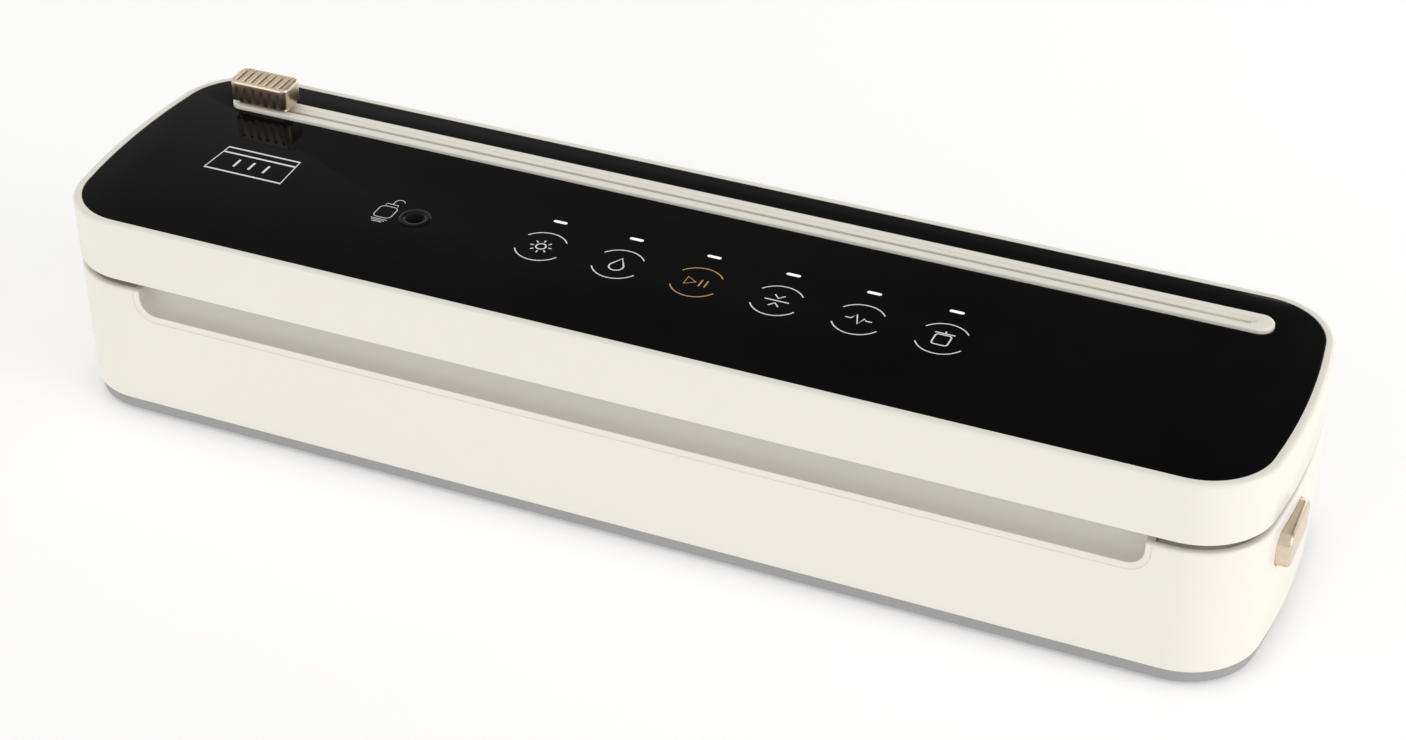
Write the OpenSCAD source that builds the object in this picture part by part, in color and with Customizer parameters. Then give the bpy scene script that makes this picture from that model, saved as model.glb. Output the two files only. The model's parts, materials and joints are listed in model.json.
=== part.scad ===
// Countertop vacuum sealer with a glass touch lid, a cutter rail and two release buttons.
// Origin: centre of the footprint on the table. +X right, +Y rear, +Z up. Millimetres.

/* [Overall] */
// Length of lid and body, left to right
body_l = 365; // [330:1:440]
// Depth of lid and body, front to rear
body_w = 95.8; // [92:0.2:116]
// Radius of the bowed left and right ends
end_r = 215; // [150:5:400]
// Radius of the four corners in plan
corner_r = 22; // [18:0.5:26]

/* [Heights] */
// Height of the feet below the base plate
foot_h = 1.5; // [1:0.1:4]
// Height of the base plate's visible edge
base_h = 3.9; // [3.4:0.1:6]
// Height of the housing wall
body_h = 39.4; // [38.5:0.1:48]
// Open gap between housing and lid
gap_h = 2.7; // [2.6:0.1:3.2]
// Height of the lid
lid_h = 19; // [18:0.1:24]

/* [Walls] */
// Thickness of the housing and lid walls
wall = 2.4; // [2:0.1:2.8]
// Thickness of the deck, the lid's top plate and the lid liner
plate_t = 2; // [1.8:0.1:2.4]
// Clearance between parts that are fitted into each other
fit = 0.25; // [0.15:0.05:0.4]

/* [Finger recess] */
// Length of the recess in the front wall
recess_l = 303; // [200:1:310]
// Height of the recess below the housing's rim
recess_h = 7.7; // [6.5:0.1:9]
// Depth of the recess at the rim
recess_d = 6; // [5:0.1:6.4]

/* [Touch panel] */
// Width of the lid's rim around the glass
rim_w = 2.6; // [2.4:0.1:4]
// Thickness of the glass
glass_t = 1.2; // [1:0.1:1.4]
// Distance between two touch keys
key_pitch = 24.1; // [20:0.1:26]
// X of the first touch key
key_x = -38.3; // [-50:0.1:-30]
// Y of the touch keys
key_y = -9.9; // [-16:0.1:-6]
// Number of touch keys
key_count = 6; // [4:1:6]
// Y of the status lights
light_y = 4.2; // [2:0.1:8]
// X of the canister hose port
port_x = -78.5; // [-90:0.5:-70]
// Y of the canister hose port
port_y = -10.5; // [-14:0.5:4]
// Radius of the hose port's bore
port_r = 2.9; // [2:0.1:3.4]

/* [Cutter] */
// Length of the cutter rail
rail_l = 326.8; // [280:0.2:328]
// Width of the cutter rail
rail_w = 8.5; // [8:0.1:10]
// Y of the rail's centre line
rail_y = 30.4; // [26:0.1:31]
// Height of the rail above the glass
rail_up = 1.2; // [0.6:0.1:2]
// Full thickness of the rail
rail_t = 4.4; // [4.2:0.1:5]
// Width of the groove along the rail
groove_w = 3.7; // [3.2:0.1:4.2]
// Depth of the groove along the rail
groove_d = 1.6; // [1:0.1:1.8]
// Length of the slider
slider_l = 20; // [16:0.5:26]
// Width of the slider
slider_w = 9.7; // [8.5:0.1:12]
// Height of the slider's grip
slider_h = 7; // [5:0.1:9]
// Distance from the rail's right end to its pivot pin
pivot_in = 18; // [17:0.5:22]
// Radius of the rail's pivot pin
pivot_r = 0.9; // [0.7:0.05:1]

/* [Chamber] */
// Length of the vacuum chamber
chamber_l = 290; // [240:1:292]
// Width of the vacuum chamber
chamber_w = 34; // [28:0.5:36]
// Depth of the vacuum chamber below the deck
chamber_d = 13.9; // [10:0.1:14.5]
// Y of the chamber's centre line
chamber_y = -2; // [-3:0.5:0]
// Wall of the chamber trough and of the drip tray
trough_t = 1.8; // [1.4:0.1:2]
// Width of the gaskets
gasket_w = 5; // [4:0.1:5.5]
// Distance from the chamber's edge to the gasket
gasket_gap = 2.5; // [2:0.1:3]

/* [Heater] */
// Length of the heating strip
strip_l = 306; // [260:1:312]
// Width of the heater bar
bar_w = 7; // [6:0.1:7.6]
// Y of the heater bar's centre line
bar_y = -33; // [-33.6:0.1:-32.6]

/* [Hinge] */
// X of the two hinges, each side of the middle
hinge_x = 110; // [90:1:130]
// Distance of the hinge axis from the rear face
hinge_in = 3.4; // [3.4:0.1:3.8]
// Radius of the hinge knuckles
knuckle_r = 3.2; // [2.8:0.1:3.3]
// Length of the lid's knuckle
knuckle_l = 16; // [12:0.5:20]
// Length of each ear on the housing
ear_l = 6; // [4:0.5:8]
// Radius of the hinge pin
pin_r = 1.5; // [1.2:0.05:1.6]

/* [Release buttons] */
// Width of a button, front to rear
button_w = 22; // [18:0.5:24]
// Height of a button
button_h = 11; // [8:0.5:11]
// Corner radius of a button
button_r = 3.8; // [2:0.1:3.9]
// Y of the buttons' centre
button_y = -14; // [-15:0.5:-12]
// Height of the buttons' centre below the rim
button_down = 10.6; // [10.4:0.1:14]
// How far a button stands out of the wall
button_out = 2.9; // [2:0.1:4]
// Travel of a button
button_travel = 3; // [2:0.1:3.2]

/* [Pump] */
// Radius of the pump motor
motor_r = 11.8; // [10:0.1:12]
// Length of the pump motor
motor_l = 30; // [26:0.5:36]
// X of the pump head's outer face
pump_x = 6; // [0:1:20]
// Y of the pump's axis
pump_y = 28; // [27.5:0.5:29]
// Radius of the motor shaft
shaft_r = 1; // [0.8:0.05:1.5]
// Inner radius of the silicone hose
hose_r = 2; // [1.6:0.1:2.4]
// Wall of the silicone hose
hose_t = 1.2; // [0.8:0.1:1.4]

/* [Electronics] */
// Length of the power board
board_l = 96; // [80:1:104]
// Width of the power board
board_w = 40; // [34:1:42]
// X of the power board's left end
board_x = -146; // [-150:1:-140]
// X of the mains inlet
inlet_x = -140; // [-146:1:-135]

/* [Fasteners and feet] */
// Radius of the case screws
screw_r = 1.45; // [1.2:0.05:1.6]
// Radius of a foot
foot_r = 8; // [6:0.5:9]

/* [Hidden] */
$fn = 48;

eps = 0.01;
// Gap between faces that rest on each other
seat = 0.02;
cream = [0.93, 0.92, 0.87];
grey = [0.60, 0.60, 0.61];
dark = [0.10, 0.10, 0.10];
bronze = [0.70, 0.61, 0.50];
steel = [0.75, 0.75, 0.77];
rubber = [0.16, 0.16, 0.17];
white = [0.92, 0.92, 0.90];
board_green = [0.10, 0.35, 0.20];
copper = [0.75, 0.45, 0.25];

// Heater channel: depth under the deck, room at its sides and its ends
channel_d = 4;
channel_t = 1.5;
channel_side = 1.6;
bar_end = 5;
terminal_x = strip_l / 2 + 1.5;
tape_t = 0.18;

// Levels
z_base = foot_h;
z_body = z_base + base_h;
z_rim = z_body + body_h;
z_lid = z_rim + gap_h;
z_top = z_lid + lid_h;
z_floor = z_base + 2.2;
z_deck = z_rim - 0.9;
z_under = z_deck - plate_t;
z_trough = z_deck - chamber_d;
z_bar = z_deck + 0.4;
z_liner = z_lid + 0.4;
z_glass = z_top - glass_t;
z_plate = z_glass - plate_t;

// Hinge axis, and the relief that the lid's rear edge turns in
hinge_y = body_w / 2 - hinge_in;
hinge_z = z_rim + gap_h / 2;
relief_r = norm([hinge_in, gap_h / 2]) + 0.65;
pin_fit = 0.06;
ear_fit = 0.02;
side_fit = 0.4;
deck_rear = hinge_y - relief_r - 0.4;
ledge_h = 3;
lip_h = 3;

// Corner radius of the chamber
chamber_r = 6;

// Status lights: size, and how far left of its key each one sits
light_l = 4.2;
light_w = 1.2;
light_shift = 0.6;
light_fit = 0.3;

// Touch board: reach round each key, thickness, and gap to the lid's plate
key_r = 12;
pcb_t = 1.6;
board_gap = 0.2;

// Hose port: wall of the bush and its collar
bush_t = 1.15;
collar_t = 3;
bush_fit = 0.1;
port_up = 0.15;

// Cutter rail levels and its pivot
z_rail = z_top + rail_up;
z_rail_low = z_rail - rail_t;
rail_fit = 0.45;
bed_end = 0.3;
pivot_x = rail_l / 2 - pivot_in;
pivot_z = z_rail_low + 0.2;
lug_r = pivot_r + 0.9;
bed_floor = z_rail_low - 5;
bed_t = 1.2;
slot_w = 1.2;
slot_x0 = -rail_l / 2 + 6;
slot_x1 = pivot_x - pivot_r - 4.5;
slider_x = -rail_l / 2 + slider_l / 2 + 1.4;
slider_lift = 1.6;
rail_gap = 0.15;
blade_t = 0.6;
blade_l = 9;

// End wall of the housing where the buttons are
wall_bow = end_r - sqrt(end_r * end_r - button_y * button_y);
wall_x = body_l / 2 - wall_bow;
button_z = z_rim - button_down;
button_face = wall_x + button_out;
button_edge = 0.6;
frame_z = button_z - 1;
frame_t = 3;
frame_low = frame_z - frame_t / 2;
runner_h = 4.8;
runner_t = 1.8;
tray_t = 2.4;
tray_fit = 0.4;
hook_x = wall_x - 12.3;
hook_t = 2.5;
hook_w = 8;
window_out = hook_x + hook_t + button_travel + 0.5;
window_in = hook_x - hook_t;
button_in = wall_x - 4.3;
tray_x0 = window_in - 19.5;
spring_r = 2.4;
spring_y = button_y - 1;
// Reach of the latch slider either side of the button's centre
SLIDE_Y = [-10, 8];

// Case posts: [x, y] of the screws that clamp base, housing and deck
post_r = 3.6;
post_x = body_l / 2 - 16.5;
post_front = board_x + board_l + 10;
post_rear = deck_rear - 1 - post_r - fit;
POSTS = [
    [-post_x, -34], [post_x, -34], [-post_x, 25], [post_x, 25],
    [post_front, bar_y], [-post_front, bar_y], [-92, post_rear], [92, post_rear]
];
lid_post_r = 3.2;
lid_post_y = bar_y - bar_w / 2 - 1.7 - lid_post_r;
LID_POSTS = [[-163, -35], [163, -35], [-60, lid_post_y], [60, lid_post_y], [-170, 18], [170, 18]];
FEET = [[-148, -30], [148, -30], [-148, 30], [148, 30]];

// Pump layout along X
pump_z = z_floor + motor_r + 1.5;
head_t = 13;
diaphragm_x = pump_x + head_t;
diaphragm_t = 2.5;
wobble_x = diaphragm_x + diaphragm_t + 1;
wobble_t = 3.5;
case_x = diaphragm_x + diaphragm_t;
case_l = 18;
motor_x = case_x + case_l;
case_r = 13;
cam_r = 5;
cam_off = 1.5;
cam_l = 8;
cam_x = motor_x - cam_l - 3.5;

// Suction ports in the chamber's rear wall
suction_x = -20;
suction_z = z_trough + 5;
chamber_rear = chamber_y + chamber_w / 2 + trough_t;
hose_bend = 8;
barb_r = hose_r - 0.05;
barb_bore = 1;
vent_y = pump_y - 7;
vent_z = pump_z - 4;
bolt_circle = 10.5;
barb_y = pump_y + 2;
valve_x = -66;
valve_y = 33;
coil_x = valve_x + 6;
valve_z = z_floor + 8;

board_z = z_floor + 4;
board_y = -38;
board_top = board_z + pcb_t;
part_z = board_top + 0.05;
stand_x = 6;
stand_y = 5;
STANDOFFS = [
    for (x = [board_x + stand_x, board_x + board_l - stand_x])
        for (y = [board_y + stand_y, board_y + board_w - stand_y])
            [x, y]
];
inlet_z = z_body + 14;
inlet_w = 14;
inlet_h = 8;
inlet_d = 16;
switch_x = 150.5;
switch_y = 33;

// Plan outline of lid and housing, moved inwards by d: two bowed ends and four corner arcs
function arc(x, y, r, a0, a1, n) =
    [for (i = [0:n]) [x + r * cos(a0 + (a1 - a0) * i / n), y + r * sin(a0 + (a1 - a0) * i / n)]];
function outline_points(d) =
    let (cy = body_w / 2 - corner_r,
         ex = body_l / 2 - end_r,
         cx = ex + sqrt(pow(end_r - corner_r, 2) - cy * cy),
         a = asin(cy / (end_r - corner_r)),
         rc = corner_r - d,
         re = end_r - d,
         corner_n = 12)
    concat(
        arc(cx, -cy, rc, -90, -a, corner_n),
        arc(ex, 0, re, -a * 0.75, a * 0.75, 6),
        arc(cx, cy, rc, a, 90, corner_n),
        arc(-cx, cy, rc, 90, 180 - a, corner_n),
        arc(-ex, 0, re, 180 - a * 0.75, 180 + a * 0.75, 6),
        arc(-cx, -cy, rc, 180 + a, 270, corner_n)
    );

module outline(d) {
    polygon(outline_points(d));
}

module slab(z0, z1, d) {
    translate([0, 0, z0]) linear_extrude(z1 - z0) outline(d);
}

module ring(z0, z1, d0, d1) {
    translate([0, 0, z0]) linear_extrude(z1 - z0) difference() {
        outline(d0);
        outline(d1);
    }
}

module box(x0, x1, y0, y1, z0, z1) {
    translate([x0, y0, z0]) cube([x1 - x0, y1 - y0, z1 - z0]);
}

// Rectangle with rounded corners, centred
module rounded(l, w, r) {
    union() {
        square([l - 2 * r, w], center = true);
        square([l, w - 2 * r], center = true);
        for (x = [-1, 1])
            for (y = [-1, 1])
                translate([x * (l / 2 - r), y * (w / 2 - r)]) circle(r);
    }
}

// Bar with round ends, from z0 to z1
module stadium(l, w, z0, z1) {
    translate([0, 0, z0]) linear_extrude(z1 - z0) union() {
        square([l - w, w], center = true);
        for (x = [-1, 1])
            translate([x * (l - w) / 2, 0]) circle(w / 2);
    }
}

module along_x(x0, x1, y, z, r) {
    translate([x0, y, z]) rotate([0, 90, 0]) cylinder(h = x1 - x0, r = r);
}

module along_y(x, y0, y1, z, r) {
    translate([x, y0, z]) rotate([-90, 0, 0]) cylinder(h = y1 - y0, r = r);
}

module along_z(x, y, z0, z1, r) {
    translate([x, y, z0]) cylinder(h = z1 - z0, r = r);
}

// side is 1 on the right and -1 on the left
module on_side(side) {
    if (side > 0) children();
    if (side < 0) mirror([1, 0, 0]) children();
}

// Round wire swept along points as one closed skin; ref is a direction the route never takes
function unit(v) = v / norm(v);
function tangent(p, i) = unit(p[min(i + 1, len(p) - 1)] - p[max(i - 1, 0)]);
function swept_ring(p, i, r, n, ref) =
    let (t = tangent(p, i), u = unit(cross(t, ref)), v = cross(t, u))
    [for (k = [0:n - 1]) p[i] + r * (cos(360 * k / n) * u + sin(360 * k / n) * v)];
module swept(p, r, n, ref) {
    m = len(p);
    polyhedron(
        points = [for (i = [0:m - 1]) each swept_ring(p, i, r, n, ref)],
        faces = concat(
            [[for (k = [0:n - 1]) k]],
            [[for (k = [0:n - 1]) (m - 1) * n + n - 1 - k]],
            [for (i = [0:m - 2]) for (k = [0:n - 1])
                [i * n + k, (i + 1) * n + k, (i + 1) * n + (k + 1) % n]],
            [for (i = [0:m - 2]) for (k = [0:n - 1])
                [i * n + k, (i + 1) * n + (k + 1) % n, i * n + (k + 1) % n]]
        )
    );
}

// ---- Lower housing ----

// Side view of the finger recess: a scoop that slopes out to the front face
module recess_side(grow) {
    y_front = -body_w / 2;
    y_back = y_front + recess_d + grow;
    polygon([
        [y_front + (grow > 0 ? 0.5 : -1), z_rim + (grow > 0 ? 0 : 1)],
        [y_back, z_rim + (grow > 0 ? 0 : 1)],
        [y_back, z_rim - recess_h * 0.3 - grow / 2],
        [y_front + grow + (grow > 0 ? 0 : -1), z_rim - recess_h - grow - (grow > 0 ? 0 : 1)],
        [y_front + (grow > 0 ? 0.5 : -1), z_rim - recess_h - grow - (grow > 0 ? 0 : 1)]
    ]);
}

module recess_prism(grow, l) {
    translate([-l / 2, 0, 0]) rotate([90, 0, 90]) linear_extrude(l) recess_side(grow);
}

module recess_cut() {
    intersection() {
        recess_prism(0, recess_l);
        translate([0, -body_w / 2 + 20, z_rim]) rotate([90, 0, 0])
            linear_extrude(30) rounded(recess_l, 2 * recess_h, 5);
    }
}

module hinge_ears(side) {
    on_side(side)
        for (x = [hinge_x - knuckle_l / 2 - side_fit - ear_l, hinge_x + knuckle_l / 2 + side_fit]) {
            along_x(x, x + ear_l, hinge_y, hinge_z, knuckle_r);
            box(x, x + ear_l, hinge_y - knuckle_r, hinge_y + knuckle_r, z_rim - 8, hinge_z);
        }
}

// Tray behind each button that the latch slider runs in
module latch_tray(side) {
    floor_z = frame_low - runner_h - tray_t;
    y0 = button_y + SLIDE_Y[0] - tray_fit - tray_t;
    y1 = button_y + SLIDE_Y[1] + tray_fit + tray_t;
    on_side(side) difference() {
        intersection() {
            box(tray_x0, wall_x, y0, y1, floor_z, frame_z + 3.5);
            slab(z_body, z_rim, 1);
        }
        box(tray_x0 + tray_t, wall_x - 3, y0 + tray_t, y1 - tray_t, floor_z + tray_t - 0.1, z_rim);
        box(window_in - 1, wall_x - 3, button_y - 8, button_y + 6, floor_z - 1, z_rim);
    }
}

module button_hole(side) {
    on_side(side)
        translate([button_in - button_travel - fit, button_y, button_z]) rotate([90, 0, 90])
            linear_extrude(button_travel + 8) rounded(button_w + 2 * fit, button_h + 2 * fit, button_r + fit);
}

module lower_housing() {
    color(cream) difference() {
        union() {
            ring(z_body, z_rim, 0, wall);
            intersection() {
                recess_prism(plate_t, recess_l + 4);
                slab(z_body, z_rim, 0.2);
            }
            intersection() {
                box(-body_l, body_l, deck_rear - 1, body_w, z_under - ledge_h, z_under - fit);
                slab(z_body, z_rim, 0.2);
            }
            for (side = [-1, 1]) {
                hinge_ears(side);
                latch_tray(side);
            }
            box(inlet_x - inlet_w / 2 - 3, inlet_x + inlet_w / 2 + 3, body_w / 2 - wall - 3, body_w / 2 - 0.5,
                z_body + lip_h + fit, inlet_z + inlet_h / 2 + 3);
        }
        recess_cut();
        difference() {
            along_x(-body_l / 2, body_l / 2, hinge_y, hinge_z, relief_r);
            for (side = [-1, 1])
                hinge_ears(side);
        }
        for (side = [-1, 1]) {
            button_hole(side);
            along_x(side * hinge_x - 20, side * hinge_x + 20, hinge_y, hinge_z, pin_r + ear_fit);
        }
        translate([inlet_x, body_w / 2 + 1, inlet_z]) rotate([90, 0, 0])
            linear_extrude(12) rounded(inlet_w + 2 * fit, inlet_h + 2 * fit, 3.5);
    }
}

// ---- Base ----

module base_plate() {
    color(grey) difference() {
        union() {
            slab(z_base, z_floor, 1.2);
            ring(z_base, z_body, 1.2, wall + 1.4);
            ring(z_body - eps, z_body + lip_h, wall + fit, wall + 1.8);
            for (p = POSTS)
                along_z(p[0], p[1], z_base, z_body, post_r + 1.2);
            for (p = STANDOFFS)
                along_z(p[0], p[1], z_base, board_z, 2.5);
        }
        for (p = POSTS) {
            along_z(p[0], p[1], z_base - 1, z_body + 4, screw_r + 0.2);
            along_z(p[0], p[1], z_base - 1, z_base + 2, 3.2);
        }
        for (p = FEET)
            along_z(p[0], p[1], z_base - 1, z_base + 0.6, foot_r + fit);
        for (i = [0:9])
            box(60 + i * 6, 62.5 + i * 6, -20, 0, z_base - 1, z_floor + 1);
    }
}

module base_screws() {
    color(steel)
        for (p = POSTS)
            difference() {
                union() {
                    along_z(p[0], p[1], z_base + 0.2, z_base + 2, 2.8);
                    along_z(p[0], p[1], z_base + 1.9, z_body + 9, screw_r);
                }
                for (a = [0, 90])
                    translate([p[0], p[1], z_base]) rotate([0, 0, a]) cube([3, 0.7, 2.2], center = true);
            }
}

module feet() {
    color(rubber)
        for (p = FEET)
            along_z(p[0], p[1], 0, z_base + 0.6, foot_r);
}

// ---- Deck with the vacuum chamber ----

module chamber_outline(grow) {
    translate([0, chamber_y]) rounded(chamber_l + 2 * grow, chamber_w + 2 * grow, min(chamber_r + grow, 14));
}

module chamber_ring(z0, z1, slack) {
    translate([0, 0, z0]) linear_extrude(z1 - z0) difference() {
        chamber_outline(gasket_gap + gasket_w + slack);
        chamber_outline(gasket_gap - slack);
    }
}

module deck() {
    post_top = z_under + eps;
    color(grey) difference() {
        union() {
            intersection() {
                slab(z_under, z_deck, wall + fit);
                box(-body_l, body_l, -body_w, deck_rear, z_under, z_deck);
            }
            translate([0, 0, z_trough - trough_t]) linear_extrude(chamber_d) chamber_outline(trough_t);
            box(-strip_l / 2 - bar_end - 2, strip_l / 2 + bar_end + 2, bar_y - bar_w / 2 - channel_side,
                bar_y + bar_w / 2 + channel_side, z_under - channel_d - channel_t, z_under + eps);
            for (p = POSTS)
                along_z(p[0], p[1], z_body + 0.3, post_top, post_r);
            for (x = [suction_x, valve_x])
                along_y(x, chamber_rear - 1, chamber_rear + 5, suction_z, barb_r);
        }
        translate([0, 0, z_trough]) linear_extrude(chamber_d + 1) chamber_outline(0);
        box(-strip_l / 2 - bar_end - 0.4, strip_l / 2 + bar_end + 0.4, bar_y - bar_w / 2 - fit,
            bar_y + bar_w / 2 + fit, z_under - channel_d, z_deck + 1);
        chamber_ring(z_deck - 1, z_deck + 1, 0.1);
        box(-recess_l / 2 - 2.3, recess_l / 2 + 2.3, -body_w, -body_w / 2 + recess_d + plate_t + fit,
            z_under - 1, z_deck + 1);
        for (p = POSTS)
            along_z(p[0], p[1], z_body, z_body + 10, screw_r + 0.05);
        for (side = [-1, 1])
            on_side(side) box(window_in - 0.5, hook_x + 5, button_y - 9, button_y + 6, z_under - 1, z_deck + 1);
        for (x = [suction_x, valve_x])
            along_y(x, chamber_rear - 5, chamber_rear + 6, suction_z, 1.1);
        along_z(switch_x, switch_y, z_under - 1, z_deck + 1, 1.5);
        for (side = [-1, 1])
            on_side(side) box(hinge_x - knuckle_l, hinge_x + knuckle_l, deck_rear - 0.6, body_w,
                z_under - 1, z_deck + 1);
    }
}

module drip_tray() {
    slack = 0.6;
    t = 1.2;
    color([0.25, 0.25, 0.26]) difference() {
        union() {
            translate([0, 0, z_trough + 0.1]) linear_extrude(chamber_d - 1.2) chamber_outline(-slack);
            for (x = [-1, 1])
                translate([x * (chamber_l / 2 - 12), chamber_y, z_trough + 0.1])
                    linear_extrude(chamber_d - 0.6) rounded(10, chamber_w - 8, 2);
        }
        translate([0, 0, z_trough + t]) linear_extrude(chamber_d) difference() {
            chamber_outline(-slack - t);
            for (x = [-1, 1])
                translate([x * (chamber_l / 2 - 12), chamber_y]) square([1.6, chamber_w - 8], center = true);
        }
        for (x = [suction_x, valve_x])
            along_y(x, chamber_rear - 6, chamber_rear, suction_z, 3);
    }
}

module lower_gasket() {
    color(rubber) chamber_ring(z_deck - 1 + seat, hinge_z + 0.05, 0);
}

// ---- Heater ----

module heater_bar() {
    bottom = z_under - channel_d + seat;
    color([0.80, 0.75, 0.62]) difference() {
        box(-strip_l / 2 - bar_end, strip_l / 2 + bar_end, bar_y - bar_w / 2, bar_y + bar_w / 2, bottom, z_bar);
        for (x = [-terminal_x, terminal_x])
            box(x - 1.7, x + 1.7, bar_y - 2.2, bar_y + 2.2, bottom - 1, z_deck + 1);
    }
}

module heating_strip() {
    color(steel) box(-strip_l / 2 - 1, strip_l / 2 + 1, bar_y - 1.5, bar_y + 1.5, z_bar + seat,
        z_bar + seat + tape_t);
}

module heater_tape() {
    color([0.55, 0.38, 0.20])
        box(-strip_l / 2 - 4.5, strip_l / 2 + 4.5, bar_y - bar_w / 2 + 0.2, bar_y + bar_w / 2 - 0.2,
            z_bar + 2 * seat + tape_t, z_bar + 2 * seat + 2 * tape_t);
}

module heater_terminals() {
    color([0.80, 0.65, 0.30])
        for (x = [-terminal_x, terminal_x])
            difference() {
                box(x - 1.5, x + 1.5, bar_y - 2, bar_y + 2, z_under - channel_d + 0.2, z_bar);
                along_z(x, bar_y, z_under - channel_d - 1, z_under - 1, 0.8);
            }
}

// ---- Hinge ----

module hinge_pin(side) {
    color(steel)
        on_side(side) along_x(hinge_x - knuckle_l / 2 - side_fit - ear_l + 0.5,
            hinge_x + knuckle_l / 2 + side_fit + ear_l - 0.5, hinge_y, hinge_z, pin_r);
}

module hinge_pin_left() {
    hinge_pin(-1);
}

module hinge_pin_right() {
    hinge_pin(1);
}

module lid_knuckle(side) {
    on_side(side) {
        along_x(hinge_x - knuckle_l / 2, hinge_x + knuckle_l / 2, hinge_y, hinge_z, knuckle_r);
        box(hinge_x - knuckle_l / 2, hinge_x + knuckle_l / 2, hinge_y - knuckle_r, hinge_y + knuckle_r,
            hinge_z, z_lid + 6);
    }
}

// ---- Pump ----

module pump_head() {
    color(dark) difference() {
        union() {
            along_x(pump_x, diaphragm_x - seat, pump_y, pump_z, case_r);
            along_x(pump_x - 8, pump_x + 1, barb_y, pump_z, barb_r);
            along_x(pump_x - 6, pump_x + 1, vent_y, vent_z, barb_r);
        }
        along_x(pump_x - 9, diaphragm_x - 4, barb_y, pump_z, barb_bore);
        along_x(pump_x - 9, diaphragm_x - 4, vent_y, vent_z, barb_bore);
        for (a = [45:90:315])
            along_x(pump_x - 1, diaphragm_x, pump_y + bolt_circle * cos(a), pump_z + bolt_circle * sin(a), 1);
    }
}

module pump_diaphragm() {
    color(rubber) union() {
        along_x(diaphragm_x, case_x - seat, pump_y, pump_z, case_r - 0.4);
        for (a = [0, 120, 240])
            along_x(case_x - 0.1, wobble_x - seat, pump_y + 5.5 * cos(a), pump_z + 5.5 * sin(a), 2.2);
    }
}

module wobble_plate() {
    color(white) along_x(wobble_x, wobble_x + wobble_t, pump_y, pump_z, 9);
}

module pump_housing() {
    color([0.20, 0.20, 0.21]) difference() {
        along_x(case_x, motor_x - seat, pump_y, pump_z, case_r);
        along_x(case_x - 1, motor_x - 2, pump_y, pump_z, case_r - 2);
        along_x(motor_x - 3, motor_x + 1, pump_y, pump_z, 3.2);
    }
}

module motor_can() {
    color(steel) difference() {
        union() {
            along_x(motor_x, motor_x + motor_l, pump_y, pump_z, motor_r);
            along_x(motor_x + motor_l - 0.1, motor_x + motor_l + 2.5, pump_y, pump_z, 3);
        }
        along_x(motor_x + 1, motor_x + motor_l - 1, pump_y, pump_z, motor_r - 0.9);
        along_x(motor_x - 1, motor_x + motor_l + 3, pump_y, pump_z, shaft_r + 0.06);
    }
}

module motor_magnets() {
    color([0.3, 0.3, 0.32]) difference() {
        along_x(motor_x + 4, motor_x + motor_l - 5, pump_y, pump_z, motor_r - 0.95);
        along_x(motor_x + 3, motor_x + motor_l - 4, pump_y, pump_z, motor_r - 2.8);
        box(motor_x, motor_x + motor_l, pump_y - 2.5, pump_y + 2.5, pump_z - 20, pump_z + 20);
    }
}

module motor_rotor() {
    color(copper) union() {
        along_x(cam_x - 0.5, motor_x + motor_l + 4, pump_y, pump_z, shaft_r);
        along_x(motor_x + 5, motor_x + motor_l - 8, pump_y, pump_z, motor_r - 3.6);
        along_x(motor_x + motor_l - 8.1, motor_x + motor_l - 2.5, pump_y, pump_z, 3);
    }
}

module eccentric() {
    color([0.85, 0.70, 0.35]) difference() {
        along_x(cam_x, cam_x + cam_l, pump_y + cam_off, pump_z, cam_r);
        along_x(cam_x - 1, cam_x + cam_l + 1, pump_y, pump_z, shaft_r);
    }
}

module pump_sleeve() {
    color(rubber) difference() {
        along_x(motor_x + 6, motor_x + motor_l - 6, pump_y, pump_z, motor_r + 1.4);
        along_x(motor_x + 5, motor_x + motor_l - 5, pump_y, pump_z, motor_r + seat);
    }
}

module pump_bracket() {
    color(grey) difference() {
        box(motor_x + 7, motor_x + motor_l - 7, pump_y - motor_r + 1, pump_y + motor_r - 1,
            z_floor, pump_z - 1);
        along_x(motor_x + 5, motor_x + motor_l - 5, pump_y, pump_z, motor_r + 1.42);
    }
}

// Quarter bend that starts at the origin heading +Y and turns to +X, outside radius r
module bend(r) {
    translate([hose_bend, 0, 0]) rotate([0, 0, 90]) rotate_extrude(angle = 90)
        translate([hose_bend, 0]) circle(r);
}

// Hose: back from the chamber, down, then right into the pump head
module chamber_hose_solid(r) {
    y1 = barb_y - hose_bend;
    z1 = pump_z + hose_bend;
    along_y(suction_x, chamber_rear + 1, y1 + eps, suction_z, r);
    translate([suction_x, y1, suction_z]) rotate([0, 90, 0]) bend(r);
    along_z(suction_x, barb_y, z1 - eps, suction_z - hose_bend + eps, r);
    translate([suction_x, barb_y, z1]) rotate([-90, 0, 0]) bend(r);
    along_x(suction_x + hose_bend - eps, pump_x - 1, barb_y, pump_z, r);
}

module chamber_hose() {
    color([0.85, 0.86, 0.85, 0.9]) difference() {
        chamber_hose_solid(hose_r + hose_t);
        along_y(suction_x, chamber_rear, chamber_rear + 5.5, suction_z, hose_r);
        along_x(pump_x - 9, pump_x, barb_y, pump_z, hose_r);
    }
}

// ---- Release valve ----

module valve_coil() {
    color([0.75, 0.20, 0.12]) difference() {
        along_x(coil_x, coil_x + 14, valve_y, valve_z, 6);
        along_x(coil_x - 4, coil_x + 16, valve_y, valve_z, 2.7);
    }
}

module valve_frame() {
    color(steel) difference() {
        box(coil_x - 2, coil_x + 16, valve_y - 6.3, valve_y + 6.3, z_floor, valve_z + 6.3);
        box(coil_x - 0.2, coil_x + 14.2, valve_y - 8, valve_y + 8, valve_z - 6.1, valve_z + 8);
        along_x(coil_x - 4, coil_x + 18, valve_y, valve_z, 2.7);
    }
}

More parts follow.
